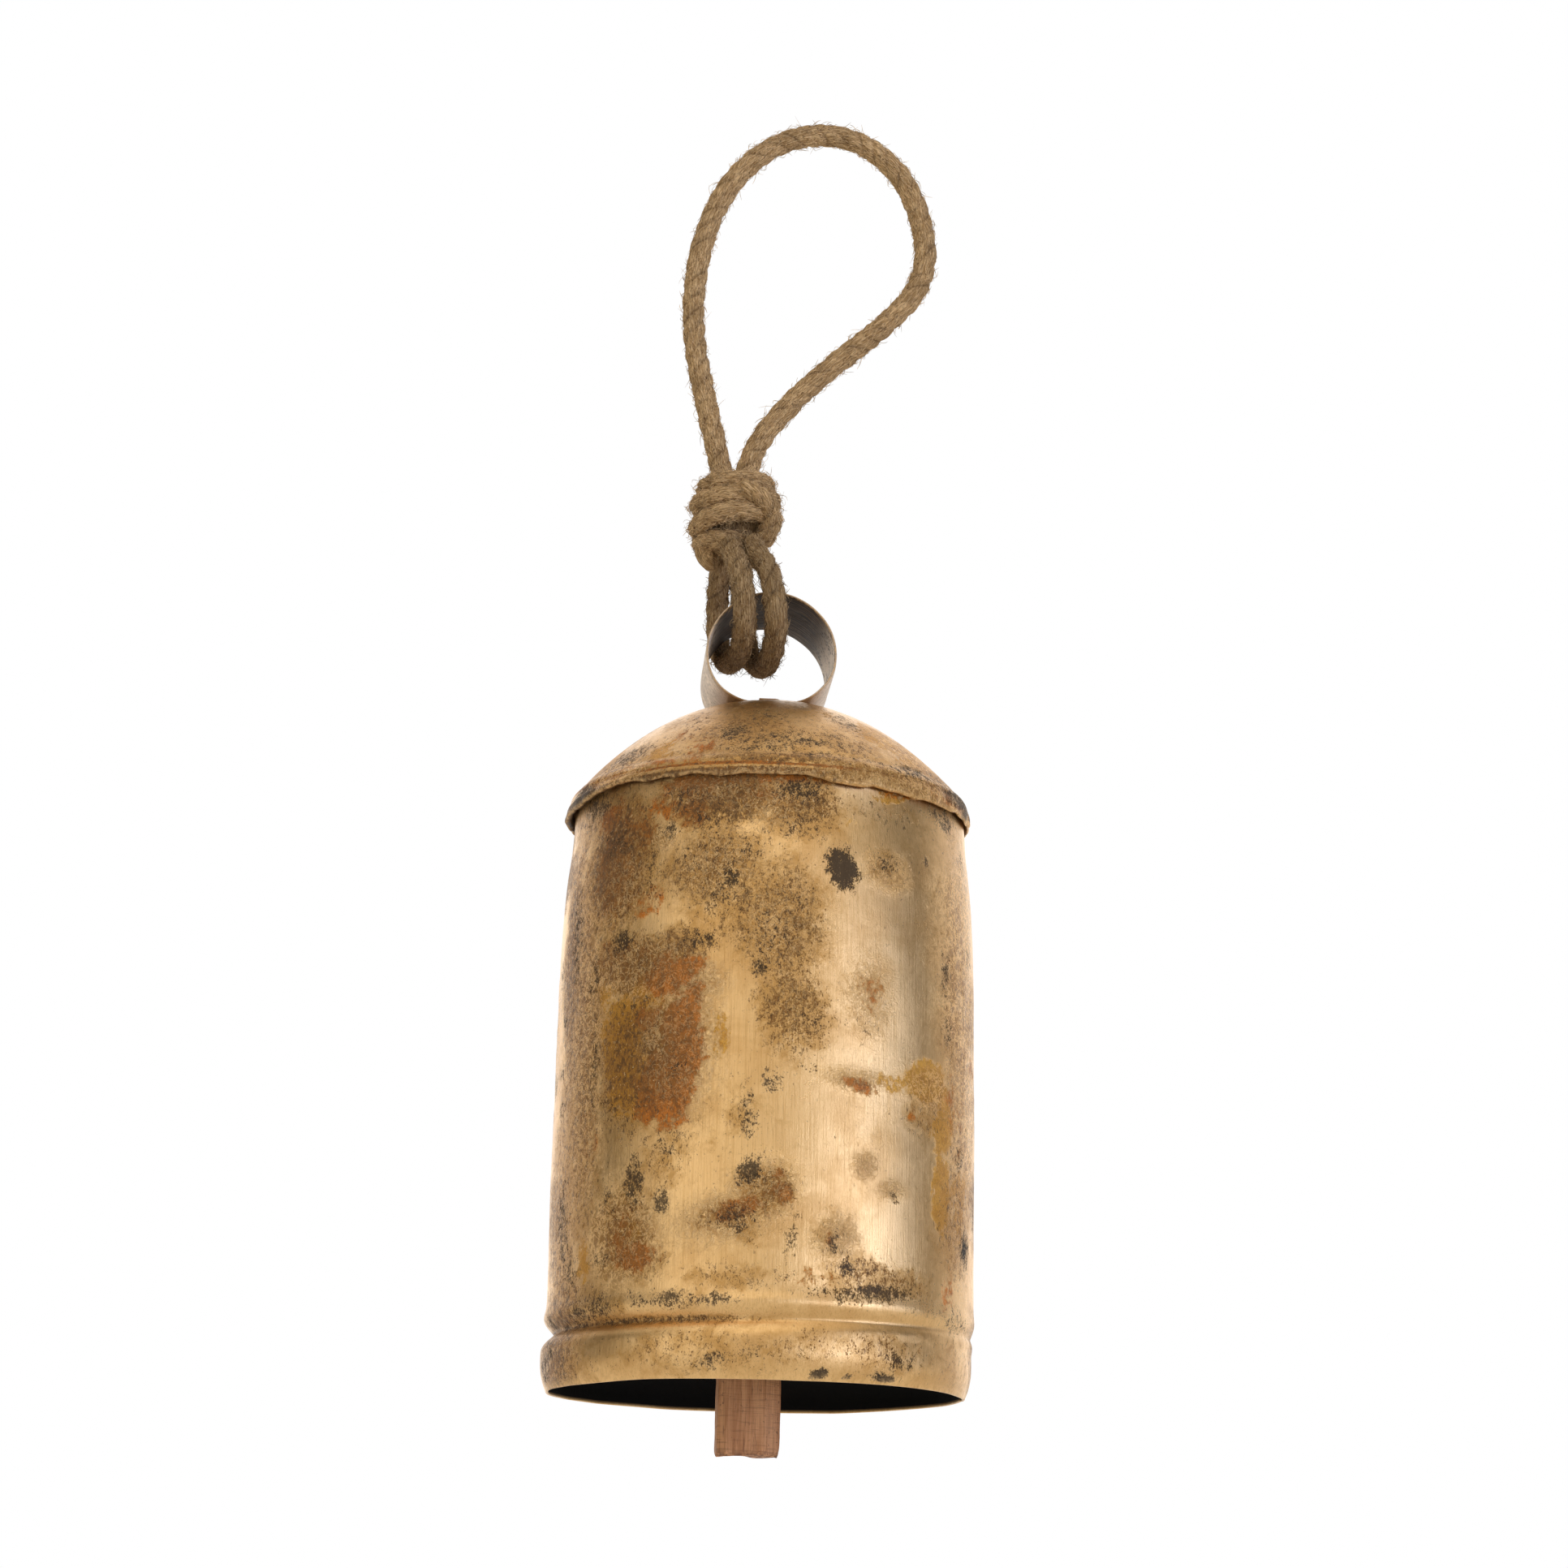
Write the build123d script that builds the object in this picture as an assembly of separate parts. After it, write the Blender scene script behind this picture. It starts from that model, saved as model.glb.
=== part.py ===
"""Yard dinner bell on a rope: rolled sheet body, domed cap, strap hoop, wire-hung wooden clapper.

Millimetres, +Z up, hanging upright. The origin is the point where a hook bears on the
inside of the rope loop, straight above the axis of the bell. Front of the bell faces -Y.
"""
from build123d import *
from math import cos, sin, tan, acos, sqrt, pi, radians, degrees
import os

os.makedirs("parts", exist_ok=True)

# ---- bell: heights are measured up from the rim ----
rim_z = -355.4          # rim below the hook point
sheet = 0.8             # body sheet thickness
cap_sheet = 0.9         # cap sheet thickness
rim_r = 54.4            # outer radius at the rim
skirt_r = 56.2          # widest radius of the skirt
skirt_h = 9.0           # height of the widest point of the skirt
groove_h = 15.4         # height of the groove valley
groove_depth = 2.0      # depth of the groove
groove_half = 3.4       # half width of the groove
body_r = 55.9           # outer radius of the body above the groove
body_top_r = 53.25      # outer radius where the body runs under the cap
waist_h = 113.0         # height where the body starts to draw in
neck_h = 149.0          # height where the body is down to its top radius
lap_start = -15.0       # polar angle of the free edge of the lap seam, degrees from +X
lap_width = 12.0        # width of the overlap round the body
lip_clear = 0.25        # gap between the lap seam and the inside of the cap lip
seat_gap = 0.03         # body's top edge to the inside of the dome

# ---- cap ----
crown_h = 184.4         # height of the flat crown
crown_flat_r = 17.0     # radius of the flat
dome_rise = 30.8        # rise the dome curve would have without the flat
dome_power = 2.23       # fullness of the dome curve
lip_top_h = 156.8       # height of the crease between dome and lip
lip_len = 4.0           # how far the lip turns down

# ---- hanger strap: a hoop round an axis along Y ----
strap_x = -1.2          # hoop centre beside the bell axis
strap_r = 18.0          # outer radius of the hoop
strap_w = 33.0          # width along Y
strap_t = 0.9           # strip thickness
strap_floor = 14.4      # hoop centre above the crown
strap_turn = 10.0       # angle below level where the round part ends
tail_gap = 0.02         # the two tails lie on each other
tail_reach = 5.0        # reach of the lower tail past the centre
tail_back = 4.2         # reach of the upper tail past the centre

# ---- clapper hardware ----
hang_x = -2.0           # staple, bail and clapper beside the bell axis
staple_wire = 2.4       # staple wire diameter
staple_half = 7.0       # legs at plus and minus this in Y
staple_bend = 2.2       # centreline bend radius
staple_hole_clear = 0.7 # hole radius over wire radius
bar_h = 171.0           # height of the staple's straight bar
clinch_end = 1.3        # clinched ends stop this far from the centre
link_wire = 2.4         # bail wire diameter
link_clear = 0.25       # bail eye round the staple bar
link_drop = 43.0        # bail bottom bar below the staple bar
link_side = 14.5        # straight sides above the bottom bar
link_bend = 3.0         # bends at the bottom corners
wood_w = 17.2           # clapper width along X
wood_d = 16.4           # clapper depth along Y
wood_top = 10.0         # wood above its cross hole
wood_hang = 14.2        # wood below the rim
wood_hole_clear = 0.3   # cross hole radius over wire radius
wood_side_clear = 0.9   # wood face to bail wire
chamfer_small = 1.8     # front left edge
chamfer_large = 4.4     # front right edge
chamfer_back = 3.0      # both rear edges

# ---- rope: heights here are from the hook point ----
rope_d = 6.0            # rope thickness
knot_x = -10.8          # knot centre beside the bell axis
knot_top_z = -99.2
knot_bottom_z = -123.8
knot_r = 13.4           # radius of the knot round its middle
knot_end_r = 9.0        # radius of its flat ends


def at_rim(height):
    return rim_z + height


def dome_height(radius):
    """Height of the cap's outer surface above the rim."""
    lip_r = body_top_r + sheet + lip_clear + cap_sheet
    return lip_top_h + dome_rise * (1 - (radius / (lip_r + 0.3)) ** dome_power)


# ---------------------------------------------------------------- body
def body_profile(out, top_h):
    """Outer profile points of the body moved out by `out`, rim first, up to `top_h`."""
    return [(rim_r + out, 0.0), (rim_r + 0.9 + out, 2.2), (skirt_r - 0.15 + out, 5.4),
            (skirt_r + out, skirt_h), (skirt_r - 0.5 + out, groove_h - groove_half + 0.6),
            (body_r - groove_depth + out, groove_h),
            (body_r - 0.1 + out, groove_h + groove_half),
            (body_r + out, groove_h + groove_half + 5.0), (body_r + 0.1 + out, 52.0),
            (body_r - 0.1 + out, 85.0), (body_r - 0.2 + out, waist_h),
            (body_r - 1.0 + out, (waist_h + neck_h) / 2 + 3.0),
            (body_top_r + 0.15 + out, neck_h), (body_top_r + out, top_h)]


def under_dome_h(radius):
    """Height just under the inside of the dome at this radius."""
    step = 0.01
    slope = (dome_height(radius + step) - dome_height(radius - step)) / (2 * step)
    return dome_height(radius) - cap_sheet * sqrt(1 + slope * slope) - seat_gap


def revolved_band(inner, outer, angle):
    """Band between two stacks of profile points, turned through `angle` degrees."""
    a = [(r, at_rim(h)) for r, h in inner]
    b = [(r, at_rim(h)) for r, h in outer]
    lines = [Spline(*[Vector(r, 0, z) for r, z in a]), Spline(*[Vector(r, 0, z) for r, z in b]),
             Line(Vector(a[0][0], 0, a[0][1]), Vector(b[0][0], 0, b[0][1])),
             Line(Vector(a[-1][0], 0, a[-1][1]), Vector(b[-1][0], 0, b[-1][1]))]
    face = Face(Wire(lines))
    return revolve(face, Axis.Z, angle)


def make_body():
    tube_top = under_dome_h(body_top_r)
    flap_top = under_dome_h(body_top_r + sheet) - 0.5
    tube = revolved_band(body_profile(-sheet, tube_top), body_profile(0.0, tube_top), 360)
    lap_angle = degrees(lap_width / body_r)
    flap = revolved_band(body_profile(-0.05, flap_top), body_profile(sheet, flap_top), lap_angle)
    return tube + Rot(0, 0, lap_start) * flap


# ---------------------------------------------------------------- cap
def make_cap():
    lip_r = body_top_r + sheet + lip_clear + cap_sheet
    radii = [22.0, 28.0, 34.0, 40.0, 46.0, 51.0, lip_r - 1.0]
    outer = [(crown_flat_r, crown_h)] + [(r, min(dome_height(r), crown_h)) for r in radii]
    inner = []
    for r, h in outer[1:]:
        slope = (dome_height(r + 0.01) - dome_height(r - 0.01)) / 0.02
        n = sqrt(1 + slope * slope)
        inner.append((r + cap_sheet * slope / n, h - cap_sheet / n))
    inner = [(crown_flat_r, crown_h - cap_sheet)] + inner
    shoulder_h = lip_top_h - 0.6
    foot_h = lip_top_h - lip_len
    p = lambda r, h: Vector(r, 0, at_rim(h))
    top = Spline(*[p(r, h) for r, h in outer], tangents=[Vector(1, 0, 0), Vector(0.62, 0, -0.78)])
    under = Spline(*[p(r, h) for r, h in inner], tangents=[Vector(1, 0, 0), Vector(0.62, 0, -0.78)])
    lines = [Line(p(0, crown_h), p(crown_flat_r, crown_h)), top,
             Spline(p(*outer[-1]), p(lip_r - 0.15, lip_top_h + 0.55), p(lip_r, shoulder_h),
                    tangents=[Vector(0.62, 0, -0.78), Vector(0, 0, -1)]),
             Line(p(lip_r, shoulder_h), p(lip_r, foot_h)),
             Line(p(lip_r, foot_h), p(lip_r - cap_sheet, foot_h)),
             Line(p(lip_r - cap_sheet, foot_h), p(lip_r - cap_sheet, shoulder_h)),
             Line(p(lip_r - cap_sheet, shoulder_h), p(*inner[-1])), under,
             Line(p(crown_flat_r, crown_h - cap_sheet), p(0, crown_h - cap_sheet)),
             Line(p(0, crown_h - cap_sheet), p(0, crown_h))]
    cap = revolve(Face(Wire(lines)), Axis.Z, 360)
    return cap - staple_holes(crown_h - 4, crown_h + 1)


def staple_holes(low_h, high_h):
    radius = staple_wire / 2 + staple_hole_clear
    span = high_h - low_h
    holes = Part()
    for side in (-1, 1):
        holes += Pos(hang_x, side * staple_half, at_rim((low_h + high_h) / 2)) * Cylinder(radius, span)
    return holes


# ---------------------------------------------------------------- strap
def hoop_centre_z():
    return at_rim(crown_h + strap_floor)


def corner_radius(drop):
    """Radius of the lower arcs: tangent to the round part and level at `drop` under the centre."""
    s = sin(radians(strap_turn))
    return (drop - strap_r * s) / (1 - s)


def make_strap():
    t, c, s = strap_t, cos(radians(strap_turn)), sin(radians(strap_turn))
    low, high = strap_floor, strap_floor - strap_t - tail_gap
    r_left, r_right = corner_radius(low), corner_radius(high)
    left = (-(strap_r - r_left) * c, -(strap_r - r_left) * s)
    right = ((strap_r - r_right) * c, -(strap_r - r_right) * s)
    up = strap_turn

    def arc(centre, radius, start, size):
        return CenterArc((centre[0], centre[1], 0), radius, start, size)

    def seg(a, b):
        return Line((a[0], a[1], 0), (b[0], b[1], 0))
    lines = [
        seg((tail_reach, -low), (left[0], -low)),
        arc(left, r_left, 180 + up, 90 - up), arc((0, 0), strap_r, -up, 180 + 2 * up),
        arc(right, r_right, 270, 90 - up),
        seg((right[0], -high), (-tail_back, -high)), seg((-tail_back, -high), (-tail_back, t - high)),
        seg((-tail_back, t - high), (right[0], t - high)), arc(right, r_right - t, 270, 90 - up),
        arc((0, 0), strap_r - t, -up, 180 + 2 * up), arc(left, r_left - t, 180 + up, 90 - up),
        seg((left[0], t - low), (tail_reach, t - low)), seg((tail_reach, t - low), (tail_reach, -low))]
    face = Face(Wire(lines))
    strip = extrude(face, strap_w / 2, both=True)
    strip = Pos(strap_x, 0, hoop_centre_z()) * Rot(90, 0, 0) * strip
    return strip - staple_holes(crown_h - 1, crown_h + 6)


# ---------------------------------------------------------------- clapper hardware
def wire_along(points, radii, diameter):
    path = FilletPolyline(*points, radius=radii)
    start = path @ 0
    section = Plane(origin=start, z_dir=path % 0) * Circle(diameter / 2)
    return sweep(section, path=path, transition=Transition.RIGHT)


def make_staple():
    top = at_rim(crown_h + 2 * strap_t + tail_gap + 0.03) + staple_wire / 2
    low = at_rim(bar_h)
    pts = [(hang_x, clinch_end, top), (hang_x, staple_half, top), (hang_x, staple_half, low),
           (hang_x, -staple_half, low), (hang_x, -staple_half, top), (hang_x, -clinch_end, top)]
    return wire_along([Vector(*p) for p in pts], [staple_bend] * 4, staple_wire)


def make_link():
    """Closed bail: round the staple bar at the top, straight through the wood at the bottom."""
    eye_r = staple_wire / 2 + link_clear + link_wire / 2
    half = wood_w / 2 + wood_side_clear + link_wire / 2
    top, low = at_rim(bar_h), at_rim(bar_h - link_drop)
    knee = low + link_side
    drop = top - knee
    # tangent from the knee to the eye circle
    reach = sqrt(half * half + drop * drop)
    ang = acos(eye_r / reach)
    base = acos(half / reach)
    lift = ang - base
    tx, tz = eye_r * cos(lift), top + eye_r * sin(lift)
    right = FilletPolyline(Vector(hang_x, 0, low), Vector(hang_x + half, 0, low),
                           Vector(hang_x + half, 0, knee), Vector(hang_x + tx, 0, tz),
                           radius=[link_bend, link_bend])
    left = FilletPolyline(Vector(hang_x - tx, 0, tz), Vector(hang_x - half, 0, knee),
                          Vector(hang_x - half, 0, low), Vector(hang_x, 0, low),
                          radius=[link_bend, link_bend])
    eye = ThreePointArc(Vector(hang_x + tx, 0, tz), Vector(hang_x, 0, top + eye_r),
                        Vector(hang_x - tx, 0, tz))
    path = Wire(list(right.edges()) + [eye] + list(left.edges()))
    section = Plane(origin=Vector(hang_x, 0, low), z_dir=Vector(1, 0, 0)) * Circle(link_wire / 2)
    return sweep(section, path=path, transition=Transition.RIGHT)


def make_clapper():
    w, d = wood_w / 2, wood_d / 2
    s, g, b = chamfer_small, chamfer_large, chamfer_back
    outline = [(-w, -d + s), (-w + s, -d), (w - g, -d), (w, -d + g), (w, d - b), (w - b, d),
               (-w + b, d), (-w, d - b)]
    low = at_rim(-wood_hang)
    top = at_rim(bar_h - link_drop + wood_top)
    bar = extrude(Pos(hang_x, 0, low) * make_face(Polyline(*outline, close=True)), top - low)
    hole = Pos(hang_x, 0, at_rim(bar_h - link_drop)) * Rot(0, 90, 0) * Cylinder(
        link_wire / 2 + wood_hole_clear, wood_w * 2)
    bar = bar - hole
    return chamfer(bar.faces().sort_by(Axis.Z)[-1].edges(), 1.2)


# ---------------------------------------------------------------- rope
loop_points = [(-14.9, 0.4, -99.9), (-19.4, 0.8, -81.0), (-24.9, 0.9, -56.4), (-23.9, 0.2, -31.0),
               (-15.6, -0.3, -8.6), (-0.4, 0.0, 5.6), (19.0, 0.2, 8.4), (35.2, -0.3, -2.6),
               (43.2, -0.9, -21.2), (42.6, -1.1, -39.4), (30.4, -0.8, -54.0), (16.3, 0.3, -65.6),
               (2.9, 0.0, -77.4), (-5.6, -0.5, -89.2), (-8.8, -0.9, -99.9)]
bight_left_points = [(-11.4, -10.5, -129.6), (-9.4, -20.8, -134.4), (-8.8, -21.4, -145.6),
                     (-9.2, -1.5, -149.5), (-11.4, 20.9, -147.4), (-14.0, 21.3, -135.4),
                     (-13.9, 10.7, -129.6)]
bight_right_points = [(-4.2, -10.5, -129.6), (-1.9, -20.8, -134.6), (-0.6, -21.4, -145.8),
                      (0.2, -0.5, -149.9), (-1.4, 20.8, -147.0), (-4.6, 21.0, -135.6),
                      (-6.0, 10.5, -129.8)]


def fillet_radii(points):
    """0.45 of the shorter run over the tangent of half the turn, for each inner corner."""
    out = []
    for a, b, c in zip(points, points[1:], points[2:]):
        u, v = Vector(*b) - Vector(*a), Vector(*c) - Vector(*b)
        turn = radians(u.get_angle(v))
        out.append(0.45 * min(u.length, v.length) / tan(turn / 2))
    return out


def rope_along(points, name):
    radii = fillet_radii(points)
    path = FilletPolyline(*[Vector(*p) for p in points], radius=radii)
    section = Plane(origin=path @ 0, z_dir=path % 0) * Circle(rope_d / 2)
    tube = sweep(section, path=path, transition=Transition.RIGHT)
    area = pi * rope_d * rope_d / 4
    print(name, "length %.1f" % path.length, "radii", [round(r, 1) for r in radii],
          "volume %.0f of %.0f" % (tube.volume, area * path.length))
    return tube


def make_knot():
    """Outer shape of the wrapped knot."""
    mid, half = (knot_top_z + knot_bottom_z) / 2, (knot_top_z - knot_bottom_z) / 2
    p = lambda r, z: Vector(r, 0, mid + z)
    side = Spline(p(knot_end_r, -half), p(knot_r - 1.0, -half + 4.0), p(knot_r, 0.5),
                  p(knot_r - 1.0, half - 4.0), p(knot_end_r, half))
    lines = [Line(p(0, -half), p(knot_end_r, -half)), side, Line(p(knot_end_r, half), p(0, half)),
             Line(p(0, half), p(0, -half))]
    return Pos(knot_x, 0, 0) * revolve(Face(Wire(lines)), Axis.Z, 360)


nodes = {
    "body_shell": make_body, "cap_dome": make_cap, "hanger_strap": make_strap,
    "clapper_staple": make_staple, "clapper_link": make_link, "clapper_bar": make_clapper,
    "rope_loop": lambda: rope_along(loop_points, "rope_loop") - make_knot(), "rope_knot": make_knot,
    "rope_bight_left": lambda: rope_along(bight_left_points, "rope_bight_left"),
    "rope_bight_right": lambda: rope_along(bight_right_points, "rope_bight_right"),
}

for name, make in nodes.items():
    shape = make()
    box = shape.bounding_box()
    print(name, "solids", len(shape.solids()), "volume %.1f" % shape.volume,
          "box", [round(v, 1) for v in (*box.min, *box.max)])
    export_step(shape, "parts/%s.step" % name)
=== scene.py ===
import bpy
import math
import numpy as np
from mathutils import Matrix, Vector


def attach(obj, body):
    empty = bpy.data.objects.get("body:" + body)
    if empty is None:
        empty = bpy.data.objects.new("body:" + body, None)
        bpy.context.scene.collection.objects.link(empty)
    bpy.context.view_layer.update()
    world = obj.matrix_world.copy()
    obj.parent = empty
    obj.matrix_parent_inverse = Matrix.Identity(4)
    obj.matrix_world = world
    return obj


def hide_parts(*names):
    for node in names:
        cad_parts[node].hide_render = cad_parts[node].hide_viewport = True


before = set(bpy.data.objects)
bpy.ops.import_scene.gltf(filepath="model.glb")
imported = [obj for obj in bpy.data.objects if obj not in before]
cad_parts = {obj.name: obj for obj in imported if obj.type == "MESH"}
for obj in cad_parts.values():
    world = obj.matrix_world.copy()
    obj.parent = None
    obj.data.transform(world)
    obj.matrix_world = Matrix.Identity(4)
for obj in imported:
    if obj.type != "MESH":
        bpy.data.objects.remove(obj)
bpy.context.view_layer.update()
scene = bpy.context.scene


# a new object in the scene that shows the given mesh, curve or camera
def addPiece(name, data):
    piece = bpy.data.objects.new(name, data)
    scene.collection.objects.link(piece)
    return piece


# camera
camera = {
    "lens": 73.42,               # mm, on a sensor 36 mm wide
    "sensor": 36.0,
    "azimuth": -4.3,             # degrees, a little from the bell's left
    "pitch": 15.41,              # degrees, looking up
    "roll": 1.06,                # degrees
    "distance": 0.880,           # metres from the aim point
    "aim": (0.0, 0.0, -0.189),
    "slide": 0.00393,            # metres sideways, so that the bell sits a little left
}


# camera axes: forward turned by azimuth and pitch, right and up rolled about it, stepped back from the aim point
def placeCamera():
    azimuth, pitch, roll = (math.radians(camera[k]) for k in ("azimuth", "pitch", "roll"))
    level = Vector((-math.sin(azimuth), math.cos(azimuth), 0))
    right = Vector((math.cos(azimuth), math.sin(azimuth), 0))
    ahead = math.cos(pitch) * level + math.sin(pitch) * Vector((0, 0, 1))
    up = -math.sin(pitch) * level + math.cos(pitch) * Vector((0, 0, 1))
    spot = Vector(camera["aim"]) - camera["distance"] * ahead + camera["slide"] * right
    across = right * math.cos(roll) + up * math.sin(roll)
    upright = up * math.cos(roll) - right * math.sin(roll)
    lens = bpy.data.cameras.new("viewCamera")
    lens.lens = camera["lens"]
    lens.sensor_width = camera["sensor"]
    lens.clip_start = 0.01
    eye = addPiece("viewCamera", lens)
    eye.matrix_world = Matrix([(across[i], upright[i], -ahead[i], spot[i]) for i in range(3)] + [(0, 0, 0, 1)])
    scene.camera = eye


placeCamera()
print("camera placed")

# small tools
latticeRows = 97     # heights along v before the noise repeats
girth = 352.0        # mm round the bell
markRadius = 56.0    # mm, turns degrees round the bell into lengths
frontGap = 64.0      # degrees each side of the front that get no strewn marks


# smooth curve through keyed values: cubic pieces whose slopes are the finite differences at the keys
def smoothThrough(x, keys, values):
    keys, values = np.asarray(keys, float), np.asarray(values, float)
    slope = np.gradient(values, keys, axis=0)
    x = np.clip(x, keys[0], keys[-1])
    i = np.clip(np.searchsorted(keys, x, side="right") - 1, 0, len(keys) - 2)
    step = keys[i + 1] - keys[i]
    t = (x - keys[i]) / step
    if values.ndim > 1:
        t, step = t[..., None], step[..., None]
    return ((2 * t**3 - 3 * t**2 + 1) * values[i] + (t**3 - 2 * t**2 + t) * step * slope[i]
            + (3 * t**2 - 2 * t**3) * values[i + 1] + (t**3 - t**2) * step * slope[i + 1])


# noise from -1 to 1: random heights at whole numbers of (u, v), eased with 3t^2 - 2t^3 between them;
# u closes after "around" cells
def latticeNoise(u, v, around, seed):
    heights = np.random.default_rng(seed).uniform(-1, 1, (around, latticeRows))
    iu, iv = np.floor(u).astype(int), np.floor(v).astype(int)
    fu, fv = u - iu, v - iv
    fu, fv = fu * fu * (3 - 2 * fu), fv * fv * (3 - 2 * fv)
    left, right = iu % around, (iu + 1) % around
    low, high = iv % latticeRows, (iv + 1) % latticeRows
    return ((heights[left, low] * (1 - fu) + heights[right, low] * fu) * (1 - fv)
            + (heights[left, high] * (1 - fu) + heights[right, high] * fu) * fv)


# the same noise with "count" cells for u from 0 to 1 and cells of a given length along
def skinNoise(u, along, count, cell, seed):
    return latticeNoise(u * count, along / cell, count, seed)


# the same noise along one direction only
def runNoise(along, cell, seed):
    return latticeNoise(0 * along, along / cell, 2, seed)


# the same noise in octaves, each half as wide and "keep" times as tall; turn in radians, height and cell in mm
def roundNoise(turn, height, cell, octaves, seed, keep=0.5):
    total, size, norm = 0.0, 1.0, 0.0
    for k in range(octaves):
        around = max(2, int(round(girth / cell)))
        total = total + size * latticeNoise(turn / (2 * np.pi) * around, height / cell, around, seed + k)
        norm, size, cell = norm + size, size * keep, cell / 2
    return total / norm


# octaves round the bell only
def levelNoise(turn, cell, octaves, seed):
    return roundNoise(turn, 0 * turn, cell, octaves, seed)


# 3t^2 - 2t^3 while x goes from low to high, 0 before and 1 after
def ease(x, low, high):
    t = np.clip((x - low) / (high - low), 0, 1)
    return t * t * (3 - 2 * t)


# a hill of height 1: e to the minus (distance / width)^power
def hill(distance, width, power=2):
    return np.exp(-(np.abs(distance) / width)**power)


# one value for each band of rows, spread over the band's points
def overBands(bands, values):
    return np.vstack([value + 0 * band for band, value in zip(bands, values)])


# degrees from the front towards +X
def fromFront(turn):
    return np.mod(np.degrees(turn) + 270, 360) - 180


# a grid of points (rows, columns) in millimetres becomes a closed mesh of quads; an open end gets a fan to its
# middle; each named mark becomes a number or a vector kept at every point
def gridPiece(name, points, material, closedRows=False, **marks):
    rows, cols = points.shape[:2]
    index = np.arange(rows * cols).reshape(rows, cols)
    a = index if closedRows else index[:-1]
    b = np.roll(index, -1, 0) if closedRows else index[1:]
    quads = np.stack([a, np.roll(a, -1, 1), np.roll(b, -1, 1), b], -1).reshape(-1, 4)
    verts = points.reshape(-1, 3)
    tris = np.zeros((0, 3), int)
    if not closedRows:
        first, last = index[0], index[-1]
        verts = np.vstack([verts, points[0].mean(0), points[-1].mean(0)])
        tris = np.vstack([
            np.stack([np.roll(first, -1), first, np.full(cols, rows * cols)], -1),
            np.stack([last, np.roll(last, -1), np.full(cols, rows * cols + 1)], -1)])
    half = np.vstack([quads[:, [0, 1, 2]], quads[:, [0, 2, 3]], tris])
    p, q, r = (verts[half[:, k]] for k in range(3))
    if np.einsum("ij,ij->i", p, np.cross(q, r)).sum() < 0:      # six times the volume, so that faces point out
        quads, tris = quads[:, ::-1], tris[:, ::-1]
    mesh = bpy.data.meshes.new(name)
    mesh.vertices.add(len(verts))
    mesh.vertices.foreach_set("co", (verts / 1000).astype(np.float32).ravel())
    corners = np.concatenate([quads.ravel(), tris.ravel()])
    mesh.loops.add(len(corners))
    mesh.loops.foreach_set("vertex_index", corners.astype(np.int32))
    sizes = np.concatenate([np.full(len(quads), 4), np.full(len(tris), 3)])
    starts = np.concatenate([[0], np.cumsum(sizes)[:-1]])
    mesh.polygons.add(len(sizes))
    mesh.polygons.foreach_set("loop_start", starts.astype(np.int32))
    mesh.polygons.foreach_set("use_smooth", np.ones(len(sizes), bool))
    mesh.update(calc_edges=True)
    mesh.validate()
    for mark, values in marks.items():
        flat = values.reshape(rows * cols, -1)
        if len(verts) > rows * cols:
            ends = [values[k].reshape(cols, -1).mean(0) for k in (0, -1)]
            flat = np.vstack([flat, *ends])
        kind, field = ("FLOAT", "value") if flat.shape[1] == 1 else ("FLOAT_VECTOR", "vector")
        mesh.attributes.new(mark, kind, "POINT").data.foreach_set(field, flat.astype(np.float32).ravel())
    mesh.materials.append(material)
    return addPiece(name, mesh)


# a colour, or any row of numbers, times one number
def shaded(colour, by):
    return tuple(c * by for c in colour)


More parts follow.
